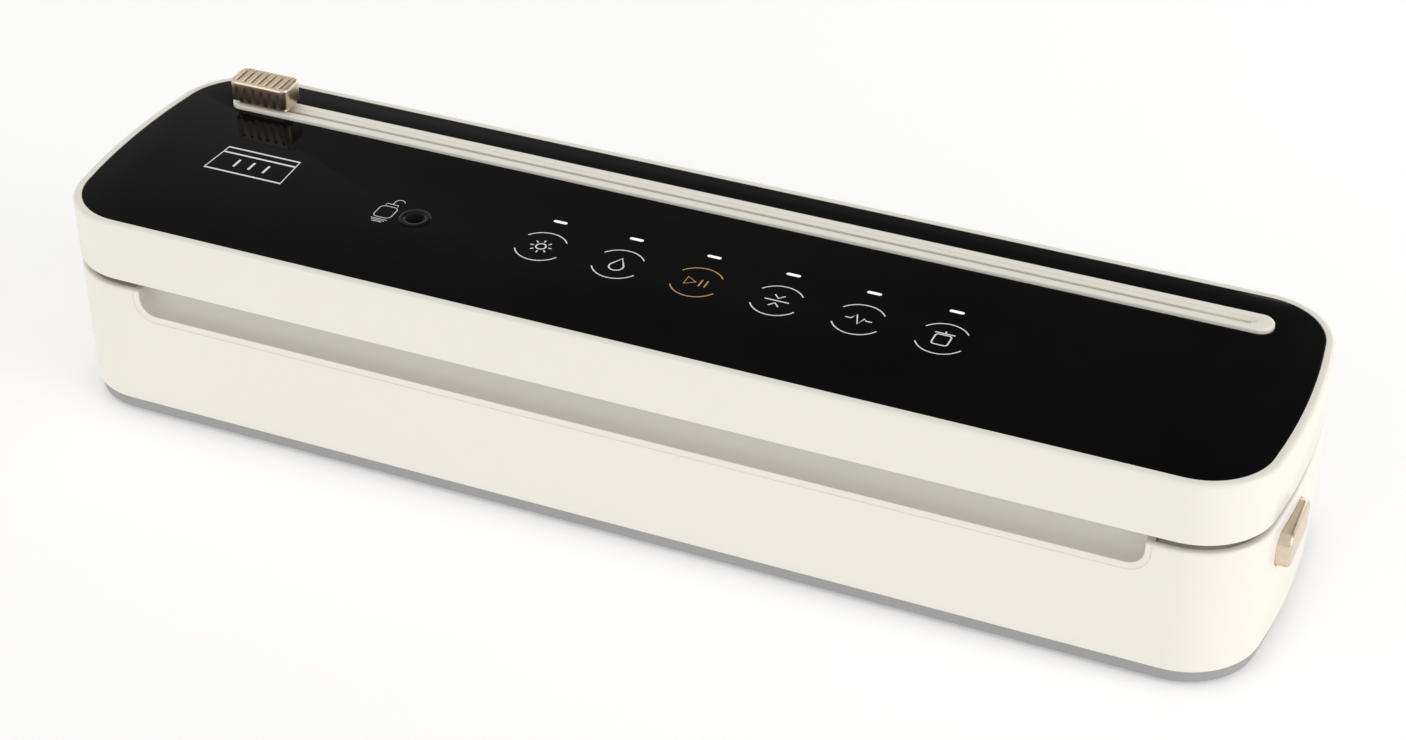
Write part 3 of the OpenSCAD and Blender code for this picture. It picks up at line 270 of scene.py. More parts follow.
CREAM = (0.862, 0.832, 0.745)
MATS = {
    "cream_plastic": plastic("cream_plastic", CREAM, rough=0.30, spread=0.025, grain=2600.0,
                             relief=0.012, coat=0.15, tint=0.006),
    # painted shade: the cream darkened for the recess faces, standing in for the shade under the lid's overhang
    "recess_tone": plastic("recess_tone", shade(CREAM, 0.76), rough=0.48, spread=0.03, grain=2600.0,
                           relief=0.03, tint=0.01),
    "grey_plastic": plastic("grey_plastic", (0.36, 0.355, 0.365), rough=0.52, grain=1500.0, relief=0.25),
    "liner_plastic": plastic("liner_plastic", (0.56, 0.54, 0.49), rough=0.5, grain=1500.0, relief=0.22),
    "tray_plastic": plastic("tray_plastic", (0.035, 0.035, 0.038), rough=0.45, grain=1500.0, relief=0.25),
    "black_plastic": plastic("black_plastic", (0.018, 0.018, 0.02), rough=0.38, relief=0.12),
    "port_gloss": plastic("port_gloss", (0.003, 0.003, 0.0035), rough=0.14, relief=0.03, spec=0.14),
    "white_plastic": plastic("white_plastic", (0.72, 0.72, 0.68), rough=0.36, relief=0.08),
    "red_plastic": plastic("red_plastic", (0.50, 0.03, 0.02), rough=0.35),
    "black_rubber": rubber("black_rubber", (0.022, 0.022, 0.023), rough=0.75),
    "gasket_rubber": rubber("gasket_rubber", (0.045, 0.045, 0.048), rough=0.85, cell=1300.0, relief=0.5),
    "silicone_strip": rubber("silicone_strip", (0.10, 0.10, 0.11), rough=0.5, relief=0.15),
    "silicone_hose": plastic("silicone_hose", (0.60, 0.62, 0.60), rough=0.3, relief=0.06, coat=0.2),
    "touch_glass": black_glass(),
    "bronze_metal": metal("bronze_metal", (0.70, 0.575, 0.45), rough=0.31, spread=0.05, relief=0.04,
                          tint=0.05, flake=0.2),
    "screw_steel": metal("screw_steel", (0.50, 0.50, 0.52), rough=0.30, scale=900.0),
    "steel": metal("steel", (0.58, 0.58, 0.60), rough=0.24, stretch=(1.0, 14.0, 14.0)),
    "blade_steel": metal("blade_steel", (0.66, 0.66, 0.68), rough=0.18, stretch=(16.0, 1.0, 1.0)),
    "motor_steel": metal("motor_steel", (0.50, 0.50, 0.51), rough=0.28, stretch=(12.0, 1.0, 1.0)),
    "magnet_iron": plastic("magnet_iron", (0.06, 0.06, 0.062), rough=0.6, relief=0.3),
    "rotor_copper": windings("rotor_copper", (0.30, 0.09, 0.03), (0.72, 0.32, 0.14), 900.0, 0.8),
    "cam_brass": metal("cam_brass", (0.72, 0.52, 0.22), rough=0.25, stretch=(10.0, 1.0, 1.0)),
    "terminal_brass": metal("terminal_brass", (0.74, 0.56, 0.27), rough=0.25),
    "heating_alloy": metal("heating_alloy", (0.55, 0.53, 0.50), rough=0.3, stretch=(1.0, 12.0, 1.0)),
    "heater_tape": fibre("heater_tape", (0.20, 0.09, 0.028), (0.36, 0.19, 0.075), 320.0),
    "heater_bar": plastic("heater_bar", (0.50, 0.42, 0.29), rough=0.5, relief=0.2),
    "coil_wrap": windings("coil_wrap", (0.40, 0.03, 0.015), (0.55, 0.07, 0.03), 700.0),
    "circuit_board": circuit("circuit_board"),
    "transformer_wrap": windings("transformer_wrap", (0.55, 0.38, 0.03), (0.72, 0.52, 0.06), 160.0),
    "capacitor_sleeve": plastic("capacitor_sleeve", (0.02, 0.028, 0.09), rough=0.25, coat=0.3),
    "heat_sink_aluminium": metal("heat_sink_aluminium", (0.66, 0.66, 0.68), rough=0.35,
                                 stretch=(1.0, 1.0, 12.0)),
    "wire_insulation": plastic("wire_insulation", (0.42, 0.02, 0.015), rough=0.35),
    "light_lens": printed("light_lens", (0.90, 0.90, 0.88), 0.35),
}
WHITE_INK = printed("white_ink", (0.88, 0.88, 0.87))
GOLD_INK = printed("gold_ink", (0.62, 0.33, 0.11))

# CAD nodes: smooth across the facets of curved walls, sharp at real edges
WELD_DISTANCE, SPLIT_ANGLE = 2e-6, 28
for o in frame["nodes"].values():
    slot = next(s["material_slot"] for s in frame["record"]["subparts"] if s["node"] == o.name)
    o.data.materials.clear()
    o.data.materials.append(MATS[slot])
    if "custom_normal" in o.data.attributes:
        o.data.attributes.remove(o.data.attributes["custom_normal"])
    o.data.polygons.foreach_set("use_smooth", [True] * len(o.data.polygons))
    weld = o.modifiers.new("weld", "WELD")
    weld.merge_threshold = WELD_DISTANCE
    split = o.modifiers.new("split", "EDGE_SPLIT")
    split.split_angle = math.radians(SPLIT_ANGLE)
    split.use_edge_sharp = False


# ---------- Geometry helpers, in millimetres in the CAD frame ----------

SHARP_ANGLE = 30


def new_object(name, bm, mat, body=None, angle=SHARP_ANGLE):
    bmesh.ops.recalc_face_normals(bm, faces=bm.faces)
    me = bpy.data.meshes.new(name)
    bm.to_mesh(me)
    bm.free()
    o = bpy.data.objects.new(name, me)
    bpy.context.scene.collection.objects.link(o)
    finish_mesh(o, mat, angle)
    if body:
        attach(o, body)
    return o


def finish_mesh(o, mat, angle=SHARP_ANGLE):
    """One material, smooth faces, and sharp edges above the angle in degrees."""
    me = o.data
    me.materials.clear()
    if mat:
        me.materials.append(mat)
    me.polygons.foreach_set("use_smooth", [True] * len(me.polygons))
    me.set_sharp_from_angle(angle=math.radians(angle))


def loft(rings, closed=False, caps=True):
    """Skin over rings of the same number of points; each point is (x, y, z) in millimetres."""
    bm = bmesh.new()
    vs = [[bm.verts.new(Vector(p) * MM) for p in r] for r in rings]
    n = len(rings[0])
    pairs = list(zip(vs, vs[1:])) + ([(vs[-1], vs[0])] if closed else [])
    for a, b in pairs:
        for i in range(n):
            j = (i + 1) % n
            bm.faces.new((a[i], a[j], b[j], b[i]))
    if caps and not closed:
        bm.faces.new(list(reversed(vs[0])))
        bm.faces.new(vs[-1])
    return bm


def combine(target, tools, operation):
    """Applies one boolean after another and removes the tools."""
    bpy.context.view_layer.update()
    for t in tools:
        m = target.modifiers.new("cut", "BOOLEAN")
        m.operation = operation
        m.solver = "EXACT"
        m.object = t
    dg = bpy.context.evaluated_depsgraph_get()
    me = bpy.data.meshes.new_from_object(target.evaluated_get(dg))
    target.modifiers.clear()
    target.data = me
    for t in tools:
        bpy.data.objects.remove(t)
    return target


def tool(bm):
    """A solid for combine(), which removes it."""
    return new_object("tool", bm, None)


def at(loop, z):
    """The points of a flat loop at height z."""
    return [(x, y, z) for x, y in loop]


def box(x0, x1, y0, y1, z0, z1):
    loop = [(x0, y0), (x1, y0), (x1, y1), (x0, y1)]
    return tool(loft([at(loop, z) for z in (z0, z1)]))


def circle(cx, cy, r, n):
    return [(cx + r * math.cos(2 * PI * i / n), cy + r * math.sin(2 * PI * i / n)) for i in range(n)]


def rod(axis, a0, a1, u, v, r, n=64):
    """Cylinder along axis 'x', 'y' or 'z' from a0 to a1; (u, v) are its other two coordinates in order."""
    rings = []
    for a in (a0, a1):
        ring = []
        for pair in circle(u, v, r, n):
            p = list(pair)
            p.insert("xyz".index(axis), a)
            ring.append(tuple(p))
        rings.append(ring)
    return tool(loft(rings))


def arc(cx, cy, r, a0, a1, n):
    """Points from angle a0 to a1, in degrees, in n steps."""
    return [(cx + r * math.cos(math.radians(a0 + (a1 - a0) * i / n)),
             cy + r * math.sin(math.radians(a0 + (a1 - a0) * i / n))) for i in range(n + 1)]


def rounded(l, w, r, n=8, cx=0.0, cy=0.0):
    """Rectangle l by w with corners of radius r."""
    pts = []
    for sx, sy, a in ((1, -1, -90), (1, 1, 0), (-1, 1, 90), (-1, -1, 180)):
        pts += arc(cx + sx * (l / 2 - r), cy + sy * (w / 2 - r), r, a, a + 90, n)
    return pts


def fillet(d0, z0, d1, z1, n=5):
    """Quarter curve in (inset, height) from (d0, z0) to (d1, z1), leaving along z."""
    return [(d0 + (d1 - d0) * (1 - math.cos(PI / 2 * i / n)), z0 + (z1 - z0) * math.sin(PI / 2 * i / n))
            for i in range(n + 1)]


# ---------- Sizes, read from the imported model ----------

def mm_box(node):
    lo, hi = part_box(node)
    return lo / MM, hi / MM


Z_TOP = mm_box("touch_panel")[1].z
house_lo, house_hi = mm_box("lower_housing")
BODY_W = house_hi.y - house_lo.y
BODY_L = house_hi.x - house_lo.x
Z_BODY = house_lo.z
CORNER_R, END_R, WALL = 22.0, 215.0, 2.4
hinge = next(j for j in frame["joints"] if j["name"] == "lid_hinge")
HINGE_Y, HINGE_Z = hinge["pos_m"][1] / MM, hinge["pos_m"][2] / MM
pin_lo, pin_hi = mm_box("hinge_pin_right")
HINGE_X = (pin_lo.x + pin_hi.x) / 2
HALF_GAP, GLASS_T, PLATE_T = 1.35, 1.2, 2.0
Z_RIM = HINGE_Z - HALF_GAP      # top edge of the lower housing
Z_LID = HINGE_Z + HALF_GAP      # bottom edge of the lid
Z_GLASS = Z_TOP - GLASS_T
Z_PLATE = Z_GLASS - PLATE_T
KNUCKLE_R, KNUCKLE_HALF = 3.2, 8


def outline(d):
    """Plan of the case inset by d: straight sides, round corners, slightly bowed ends."""
    cy = BODY_W / 2 - CORNER_R
    ex = BODY_L / 2 - END_R
    cx = ex + math.sqrt((END_R - CORNER_R) ** 2 - cy * cy)
    a = math.degrees(math.asin(cy / (END_R - CORNER_R)))
    rc, re, n = CORNER_R - d, END_R - d, 20
    bow = a * 0.75
    pts = arc(cx, -cy, rc, -90, -a, n) + arc(ex, 0, re, -bow, bow, 8) + arc(cx, cy, rc, a, 90, n)
    pts += arc(-cx, cy, rc, 90, 180 - a, n) + arc(-ex, 0, re, 180 - bow, 180 + bow, 8)
    pts += arc(-cx, -cy, rc, 180 + a, 270, n)
    return pts


def outline_rings(profile):
    """Rings of the plan for a profile of (inset, height)."""
    return [at(outline(d), z) for d, z in profile]


# ---------- Lid ----------

RIM_W = 2.6
profile = [(WALL, Z_PLATE), (WALL, Z_LID + 0.4), (WALL - 0.4, Z_LID), (0.55, Z_LID)]
profile += [(0.16, Z_LID + 0.16), (0.0, Z_LID + 0.55)]
profile += fillet(0.0, Z_TOP - 1.25, 1.25, Z_TOP, 7)
profile += [(RIM_W - 0.22, Z_TOP), (RIM_W - 0.06, Z_TOP - 0.06), (RIM_W, Z_TOP - 0.22), (RIM_W, Z_GLASS)]
lid = new_object("lid_case", loft(outline_rings(profile)), MATS["cream_plastic"])
rail_lo, rail_hi = mm_box("cutter_rail")
RAIL_L, RAIL_W = rail_hi.x - rail_lo.x, rail_hi.y - rail_lo.y
RAIL_Y = (rail_lo.y + rail_hi.y) / 2
Z_RAIL = rail_hi.z
Z_RAIL_LOW = Z_RAIL - 4.4
RAIL_FIT = 0.45
bed_lo, bed_hi = mm_box("cutter_bed")
BED_FIT = 0.1
port_lo, port_hi = mm_box("port_bush")
PORT_X, PORT_Y = (port_lo.x + port_hi.x) / 2, (port_lo.y + port_hi.y) / 2
PORT_HOLE_R = 4.15
ALMOST = 1e-4       # keeps the two ends of a full round apart


def stadium(l, w, z0, z1, n=24):
    """Slot with round ends over the rail."""
    loop = rounded(l, w, w / 2 - ALMOST, n, 0.0, RAIL_Y)
    return tool(loft([at(loop, z) for z in (z0, z1)]))


cuts = [stadium(bed_hi.x - bed_lo.x + BED_FIT, bed_hi.y - bed_lo.y + BED_FIT, Z_PLATE - 1, Z_TOP + 1),
        rod("z", Z_PLATE - 1, Z_TOP, PORT_X, PORT_Y, PORT_HOLE_R)]
joins, bores = [], []
POCKET_HALF, LID_BORE_R, BORE_HALF = 14.8, 1.56, 20
for side in (-1, 1):
    x = side * HINGE_X
    # pocket for the case's hinge ears, then the lid's own knuckle in the middle of it
    cuts.append(box(x - POCKET_HALF, x + POCKET_HALF, HINGE_Y - 4.2, BODY_W, Z_LID - 1, HINGE_Z + 3.6))
    joins.append(rod("x", x - KNUCKLE_HALF, x + KNUCKLE_HALF, HINGE_Y, HINGE_Z, KNUCKLE_R))
    joins.append(box(x - KNUCKLE_HALF, x + KNUCKLE_HALF, HINGE_Y - KNUCKLE_R, HINGE_Y + KNUCKLE_R,
                     HINGE_Z, Z_LID + 6))
    bores.append(rod("x", x - BORE_HALF, x + BORE_HALF, HINGE_Y, HINGE_Z, LID_BORE_R, 48))
combine(lid, cuts, "DIFFERENCE")
combine(lid, joins, "UNION")
combine(lid, bores, "DIFFERENCE")
finish_mesh(lid, MATS["cream_plastic"])
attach(lid, "lid")
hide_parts("lid_shell")

# Glass with a ground edge
profile = [(RIM_W + 0.14, Z_GLASS + 0.02), (RIM_W + 0.1, Z_TOP - 0.35)]
profile += fillet(RIM_W + 0.1, Z_TOP - 0.3, RIM_W + 0.4, Z_TOP, 4)
glass = new_object("glass_panel", loft(outline_rings(profile)), MATS["touch_glass"])
combine(glass, [stadium(RAIL_L + 2 * RAIL_FIT, RAIL_W + 2 * RAIL_FIT, Z_GLASS - 1, Z_TOP + 1),
                rod("z", Z_GLASS - 1, Z_TOP + 1, PORT_X, PORT_Y, PORT_HOLE_R)], "DIFFERENCE")
finish_mesh(glass, MATS["touch_glass"])
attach(glass, "lid")
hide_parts("touch_panel")

# ---------- Lower housing ----------

profile = [(WALL, Z_BODY), (0.9, Z_BODY), (0.3, Z_BODY + 0.12), (0.06, Z_BODY + 0.4), (0.0, Z_BODY + 0.9)]
profile += fillet(0.0, Z_RIM - 0.9, 0.9, Z_RIM, 6)
profile += [(WALL - 0.35, Z_RIM), (WALL - 0.1, Z_RIM - 0.1), (WALL, Z_RIM - 0.35)]
house = new_object("lower_case", loft(outline_rings(profile), closed=True), MATS["cream_plastic"])
FRONT = -BODY_W / 2
REC_L, REC_H, REC_D = 303.0, 7.7, 6.0       # finger recess
btn_lo, btn_hi = mm_box("release_button_right")
BTN_Y, BTN_Z = (btn_lo.y + btn_hi.y) / 2, (btn_lo.z + btn_hi.z) / 2
BTN_W, BTN_H, BTN_R, BTN_FIT = btn_hi.y - btn_lo.y, btn_hi.z - btn_lo.z, 3.8, 0.25
socket_lo, socket_hi = mm_box("inlet_socket")
INLET_X, INLET_Z = (socket_lo.x + socket_hi.x) / 2, (socket_lo.z + socket_hi.z) / 2
HOOK_X = mm_box("lid_hook_right")[0].x
slide_lo, slide_hi = mm_box("latch_slider_right")
TRAY_WALL, TRAY_FLOOR, TRAY_END = 2.4, 2.3, 1.3
TRAY_X0, TRAY_X1 = mm_box("latch_spring_right")[0].x - 2.5, slide_hi.x + 2.6
TRAY_Y0, TRAY_Y1 = slide_lo.y - 2.8, slide_hi.y + 2.8
TRAY_Z0, TRAY_Z1 = slide_lo.z - 2.4, slide_lo.z + 9.8


def backing():
    """Solid behind the recess, sloping like the scoop."""
    loop = [(FRONT + 1.5, Z_RIM - 0.02), (FRONT + REC_D + 2, Z_RIM - 0.02), (FRONT + REC_D + 2, Z_RIM - 3.3),
            (FRONT + 1.5, Z_RIM - REC_H - 4.5)]
    h = REC_L / 2 + 2
    return tool(loft([[(x, y, z) for y, z in loop] for x in (-h, h)]))


def recess_section(y, grow, low, r):
    """Front view of the recess at depth y: a U with round lower corners, open above the rim."""
    h, top = REC_L / 2 + grow, Z_RIM + 3
    pts = arc(h - r, low + r, r, -90, 0, 10) + [(h, top), (-h, top)] + arc(-h + r, low + r, r, 180, 270, 10)
    return [(x, y, z) for x, z in pts]


def recess_tool():
    """The recess: a lip with a thin line round it, then a cove rising to an upright back wall."""
    low0 = Z_RIM - REC_H
    lip = 1.9
    rings = [recess_section(FRONT - 1.5, lip, low0 - lip, 6.6)]
    for grow, y in ((lip, 0.22), (lip - 0.16, 0.24), (lip - 0.3, 0.1), (lip - 0.42, 0.06), (0.9, 0.2),
                    (0.25, 0.42), (0.0, 0.62)):
        rings.append(recess_section(FRONT + y, grow, low0 - grow, 5 + grow))
    y0, y1 = FRONT + 0.62, FRONT + REC_D
    steps = 8
    for i in range(1, steps + 1):
        t = i / steps
        turn = PI / 2 * t
        rise = low0 + (Z_RIM - REC_H * 0.4 - low0) * (1 - math.cos(turn))
        rings.append(recess_section(y0 + (y1 - y0) * math.sin(turn), -1.2 * t * t, rise, 5 - 2.4 * t))
    return tool(loft(rings))


joins = [backing()]
ledge = new_object("tool", loft(outline_rings([(0.2, Z_RIM - 5.9), (0.2, Z_RIM - 3.15)])), None)
combine(ledge, [box(-BODY_L, BODY_L, -BODY_W, mm_box("deck")[1].y - 1, 0, 80)], "DIFFERENCE")
joins.append(ledge)
joins.append(box(INLET_X - 10, INLET_X + 10, BODY_W / 2 - WALL - 3, BODY_W / 2 - 0.5, Z_BODY + 3.25,
                 INLET_Z + 7))
for side in (-1, 1):
    a, b = sorted((side * TRAY_X0, side * TRAY_X1))
    joins.append(box(a, b, TRAY_Y0, TRAY_Y1, TRAY_Z0, TRAY_Z1))
combine(house, joins, "UNION")
SWING_R = 4.308     # room for the knuckles to turn
cuts = [recess_tool(), rod("x", -BODY_L / 2, BODY_L / 2, HINGE_Y, HINGE_Z, SWING_R)]
for side in (-1, 1):
    # the latch tray's inside, the opening in its floor, and the button's window
    a, b = sorted((side * (TRAY_X0 + TRAY_WALL), side * (TRAY_X1 - TRAY_END)))
    cuts.append(box(a, b, TRAY_Y0 + TRAY_WALL, TRAY_Y1 - TRAY_WALL, TRAY_Z0 + TRAY_FLOOR, Z_RIM))
    a, b = sorted((side * (HOOK_X + 1.5), side * (TRAY_X1 - TRAY_END)))
    cuts.append(box(a, b, BTN_Y - 8, BTN_Y + 6, TRAY_Z0 - 1, TRAY_Z0 + 3))
    loop = rounded(BTN_W + 2 * BTN_FIT, BTN_H + 2 * BTN_FIT, BTN_R + BTN_FIT, 10, BTN_Y, BTN_Z)
    cuts.append(tool(loft([[(side * x, y, z) for y, z in loop] for x in (slide_hi.x - 3.2, BODY_L / 2 + 2)])))
loop = rounded(14.5, 8.5, 3.5, 8, INLET_X, INLET_Z)
cuts.append(tool(loft([[(x, y, z) for x, z in loop] for y in (BODY_W / 2 - 12, BODY_W / 2 + 1)])))
combine(house, cuts, "DIFFERENCE")
joins, bores = [], []
EAR_L, EAR_GAP, CASE_BORE_R = 6, 0.4, 1.52
for side in (-1, 1):
    for x in (HINGE_X - KNUCKLE_HALF - EAR_GAP - EAR_L, HINGE_X + KNUCKLE_HALF + EAR_GAP):
        a, b = sorted((side * x, side * (x + EAR_L)))
        joins.append(rod("x", a, b, HINGE_Y, HINGE_Z, KNUCKLE_R))
        joins.append(box(a, b, HINGE_Y - KNUCKLE_R, HINGE_Y + KNUCKLE_R, Z_RIM - 8, HINGE_Z))
    bores.append(rod("x", side * HINGE_X - BORE_HALF, side * HINGE_X + BORE_HALF, HINGE_Y, HINGE_Z,
                     CASE_BORE_R, 48))
combine(house, joins, "UNION")
combine(house, bores, "DIFFERENCE")
finish_mesh(house, MATS["cream_plastic"], 24)
# the faces of the recess take a darker cream: painted shade for the shade under the lid
house.data.materials.append(MATS["recess_tone"])
for face in house.data.polygons:
    c = face.center / MM
    inside = FRONT + 0.6 < c.y < FRONT + REC_D + 0.3 and abs(c.x) < REC_L / 2 + 0.2
    if inside and Z_RIM - REC_H - 0.2 < c.z < Z_RIM - 0.05:
        face.material_index = 1
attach(house, "base")
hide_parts("lower_housing")

# ---------- Cutter rail ----------


def rail_ring(l, w, z, n=16):
    return at(rounded(l, w, w / 2 - ALMOST, n, 0.0, RAIL_Y), z)


lift = next(j for j in frame["joints"] if j["name"] == "rail_lift")
PIVOT_X, PIVOT_Z = lift["pos_m"][0] / MM, lift["pos_m"][2] / MM
GROOVE_L, GROOVE_W, Z_GROOVE = RAIL_L - 10, 3.7, Z_RAIL - 1.05
LUG_R, PIVOT_BORE_R, SLOT_HALF = 1.8, 0.96, 0.6
profile = [(0.35, Z_RAIL_LOW), (0.1, Z_RAIL_LOW + 0.1), (0.0, Z_RAIL_LOW + 0.35)]
profile += fillet(0.0, Z_RAIL - 0.75, 0.85, Z_RAIL, 6)
rings = [rail_ring(RAIL_L - 2 * d, RAIL_W - 2 * d, z) for d, z in profile]
profile = [(0.45, Z_RAIL), (0.2, Z_RAIL - 0.07), (0.05, Z_RAIL - 0.22), (0.0, Z_RAIL - 0.45),
           (0.0, Z_GROOVE + 0.3), (-0.1, Z_GROOVE + 0.1), (-0.3, Z_GROOVE)]
rings += [rail_ring(GROOVE_L + 2 * d, GROOVE_W + 2 * d, z) for d, z in profile]
rail = new_object("rail_bar", loft(rings), MATS["cream_plastic"])
combine(rail, [rod("y", RAIL_Y - RAIL_W / 2 + 0.5, RAIL_Y + RAIL_W / 2 - 0.5, PIVOT_X, PIVOT_Z, LUG_R, 48)],
        "UNION")
slot_y = (RAIL_Y - SLOT_HALF, RAIL_Y + SLOT_HALF)
combine(rail, [box(-RAIL_L / 2 + 6, PIVOT_X - 5.4, *slot_y, Z_RAIL_LOW - 1, Z_RAIL),
               box(PIVOT_X - 6, GROOVE_L / 2 - 1.6, *slot_y, Z_GROOVE - 1.3, Z_RAIL),
               rod("y", RAIL_Y - 20, RAIL_Y + 20, PIVOT_X, PIVOT_Z, PIVOT_BORE_R, 32)], "DIFFERENCE")
finish_mesh(rail, MATS["cream_plastic"])
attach(rail, "cutter_rail")
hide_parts("cutter_rail")

# ---------- Cutter slider ----------

sl_lo, sl_hi = mm_box("cutter_slider")
SX, SY = (sl_lo.x + sl_hi.x) / 2, (sl_lo.y + sl_hi.y) / 2
SL, SW, S_TOP = sl_hi.x - sl_lo.x, sl_hi.y - sl_lo.y, sl_hi.z
S_LOW = S_TOP - 7.0
TOP_RIBS, TOP_PITCH, FRONT_RIBS, FRONT_PITCH = 7, 2.5, 6, 2.88


def slider_ring(d, z, r=2.4):
    return at(rounded(SL - 2 * d, SW - 2 * d, max(r - d, 0.4), 8, SX, SY), z)


profile = [(0.5, S_LOW), (0.15, S_LOW + 0.12), (0.0, S_LOW + 0.5)] + fillet(0.0, S_TOP - 1.0, 1.0, S_TOP, 6)
slider = new_object("slider_grip", loft([slider_ring(d, z) for d, z in profile]), MATS["bronze_metal"])
foot = [at(rounded(l, w, 1.4, 6, SX, SY), z) for l, w, z in
        ((17.0, 6.4, Z_RAIL + 0.15), (16.8, 6.4, Z_RAIL + 0.5), (16.4, 6.4, S_LOW + 0.3))]
stem = [at(rounded(8.0, 3.2, 0.8, 6, SX, SY), z) for z in (Z_GROOVE + 0.15, Z_RAIL + 0.3)]
combine(slider, [tool(loft(foot)), tool(loft(stem))], "UNION")
cuts = []
top_groove = ((S_TOP - 1.05, 0.12), (S_TOP - 0.98, 0.28), (S_TOP - 0.75, 0.4), (S_TOP - 0.3, 0.42),
              (S_TOP - 0.08, 0.5), (S_TOP + 0.1, 0.7))
for i in range(TOP_RIBS):
    x = SX + (i - (TOP_RIBS - 1) / 2) * TOP_PITCH
    rings = [at(rounded(2 * r, SW - 2.6 + 2 * r, r - ALMOST, 6, x, SY), z) for z, r in top_groove]
    cuts.append(tool(loft(rings)))
side_groove = ((S_LOW - 1, 0.66), (S_TOP - 2.5, 0.66), (S_TOP - 2.15, 0.58), (S_TOP - 1.95, 0.4),
               (S_TOP - 1.88, 0.12))
for i in range(FRONT_RIBS):
    x = SX + (i - (FRONT_RIBS - 1) / 2) * FRONT_PITCH
    for side in (-1, 1):
        y = SY + side * (SW / 2 + 0.05)
        cuts.append(tool(loft([at(circle(x, y, r, 20), z) for z, r in side_groove])))
cuts.append(box(SX - 4.5, SX + 4.5, SY - 0.3, SY + 0.3, Z_GROOVE - 1, S_LOW + 2))
combine(slider, cuts, "DIFFERENCE")
finish_mesh(slider, MATS["bronze_metal"], 35)
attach(slider, "cutter")
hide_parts("cutter_slider")

# ---------- Release buttons ----------

for side, label in ((-1, "left"), (1, "right")):
    lo, hi = mm_box(f"release_button_{label}")
    face = max(abs(lo.x), abs(hi.x))
    inner = min(abs(lo.x), abs(hi.x))
    rings = []
    profile = [(0.0, inner)] + fillet(0.0, face - 1.3, 1.3, face - 0.05, 7)
    for d, x in profile + [(2.2, face - 0.01), (2.9, face)]:
        loop = rounded(BTN_W - 2 * d, BTN_H - 2 * d, max(BTN_R - d, 0.9), 10, BTN_Y, BTN_Z)
        rings.append([(side * x, y, z) for y, z in loop])
    new = new_object(f"end_button_{label}", loft(rings), MATS["bronze_metal"], f"{label}_button",
                     35)
    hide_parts(f"release_button_{label}")

# ---------- Latch springs ----------------------------------------------------

PRESS, WIRE_R, TURNS, STEPS = 3.0, 0.34, 5, 20
for side, label in ((-1, "left"), (1, "right")):
    lo, hi = mm_box(f"latch_spring_{label}")
    fixed, moving = sorted((lo.x, hi.x), key=abs)
    cy, cz = (lo.y + hi.y) / 2, (lo.z + hi.z) / 2
    coil_r = (hi.y - lo.y) / 2 - 0.35
    start, end = fixed + side * WIRE_R, moving - side * WIRE_R
    rings = []
    for i in range(TURNS * STEPS + 1):
        a = 2 * PI * i / STEPS
        out = Vector((0, math.cos(a), math.sin(a)))
        centre = Vector((start + (end - start) * i / (TURNS * STEPS), cy, cz))
        rings.append([centre + out * (coil_r + WIRE_R * math.cos(b)) + Vector((WIRE_R * math.sin(b), 0, 0))
                      for b in [2 * PI * k / 10 for k in range(10)]])
    coil = new_object(f"latch_coil_{label}", loft(rings), MATS["steel"], "base", 60)
    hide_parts(f"latch_spring_{label}")
    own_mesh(coil)

# ---------- Gaskets with a soft round face ----------


def gasket(name, node, flip):
    """Oval seal with a rounded face, turned down when flip is set."""
    lo, hi = mm_box(node)
    cx, cy = (lo.x + hi.x) / 2, (lo.y + hi.y) / 2
    l, w, r = hi.x - lo.x, hi.y - lo.y, 12.0
    z0, z1 = (hi.z, lo.z) if flip else (lo.z, hi.z)
    k = 1 if z1 > z0 else -1
    section = [(0, z0), (0, z1 - k * 1.0)]
    for turn in [PI / 2 * i / 5 for i in range(1, 6)]:
        section.append((0.9 * (1 - math.cos(turn)), z1 - k * (1 - math.sin(turn))))
    section += [(2.5, z1 - k * 0.03)] + [(5 - d, z) for d, z in reversed(section)]
    rings = [at(rounded(l - 2 * d, w - 2 * d, r - d, 12, cx, cy), z) for d, z in section]
    o = new_object(name, loft(rings, closed=True), MATS["gasket_rubber"], "lid" if flip else "base",
                   50)
    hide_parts(node)


gasket("chamber_seal", "lower_gasket", False)
gasket("lid_seal", "upper_gasket", True)

# ---------- Prints and lights on the glass ----------

led_lo, led_hi = mm_box("indicator_leds")
KEY_Y, KEY_SHIFT = -9.9, 0.6
LED_HALF, KEY_COUNT = 2.1, 6
LIGHT_L, LIGHT_W, LIGHT_Y = 4.3, 1.2, 4.2
KEYS = [led_lo.x + LED_HALF + KEY_SHIFT + i * (led_hi.x - led_lo.x - 2 * LED_HALF) / (KEY_COUNT - 1)
        for i in range(KEY_COUNT)]
INK_Z0, INK_Z1 = Z_TOP - 0.02, Z_TOP + 0.025
RING_R, RING_INK, ICON_INK, FINE_INK, MARK_INK = 7.49, 0.36, 0.42, 0.22, 0.75


def stroke(bm, pts, w, closed=False):
    """Ribbon of ink of width w along 2-D points."""
    n = len(pts)
    left, right = [], []
    for i, p in enumerate(pts):
        a = Vector(pts[(i - 1) % n] if closed or i else p)
        b = Vector(pts[(i + 1) % n] if closed or i < n - 1 else p)
        t = (b - a).normalized()
        q = Vector((-t.y, t.x)) * w / 2
        left.append(Vector(p) + q)
        right.append(Vector(p) - q)
    rows = [[bm.verts.new((v.x * MM, v.y * MM, z * MM)) for v in line]
            for line, z in ((left, INK_Z1), (right, INK_Z1), (right, INK_Z0), (left, INK_Z0))]
    last = n if closed else n - 1
    for i in range(last):
        j = (i + 1) % n
        for a, b in ((0, 1), (1, 2), (2, 3), (3, 0)):
            bm.faces.new((rows[a][i], rows[a][j], rows[b][j], rows[b][i]))
    if not closed:
        bm.faces.new([r[0] for r in rows])
        bm.faces.new([r[-1] for r in reversed(rows)])


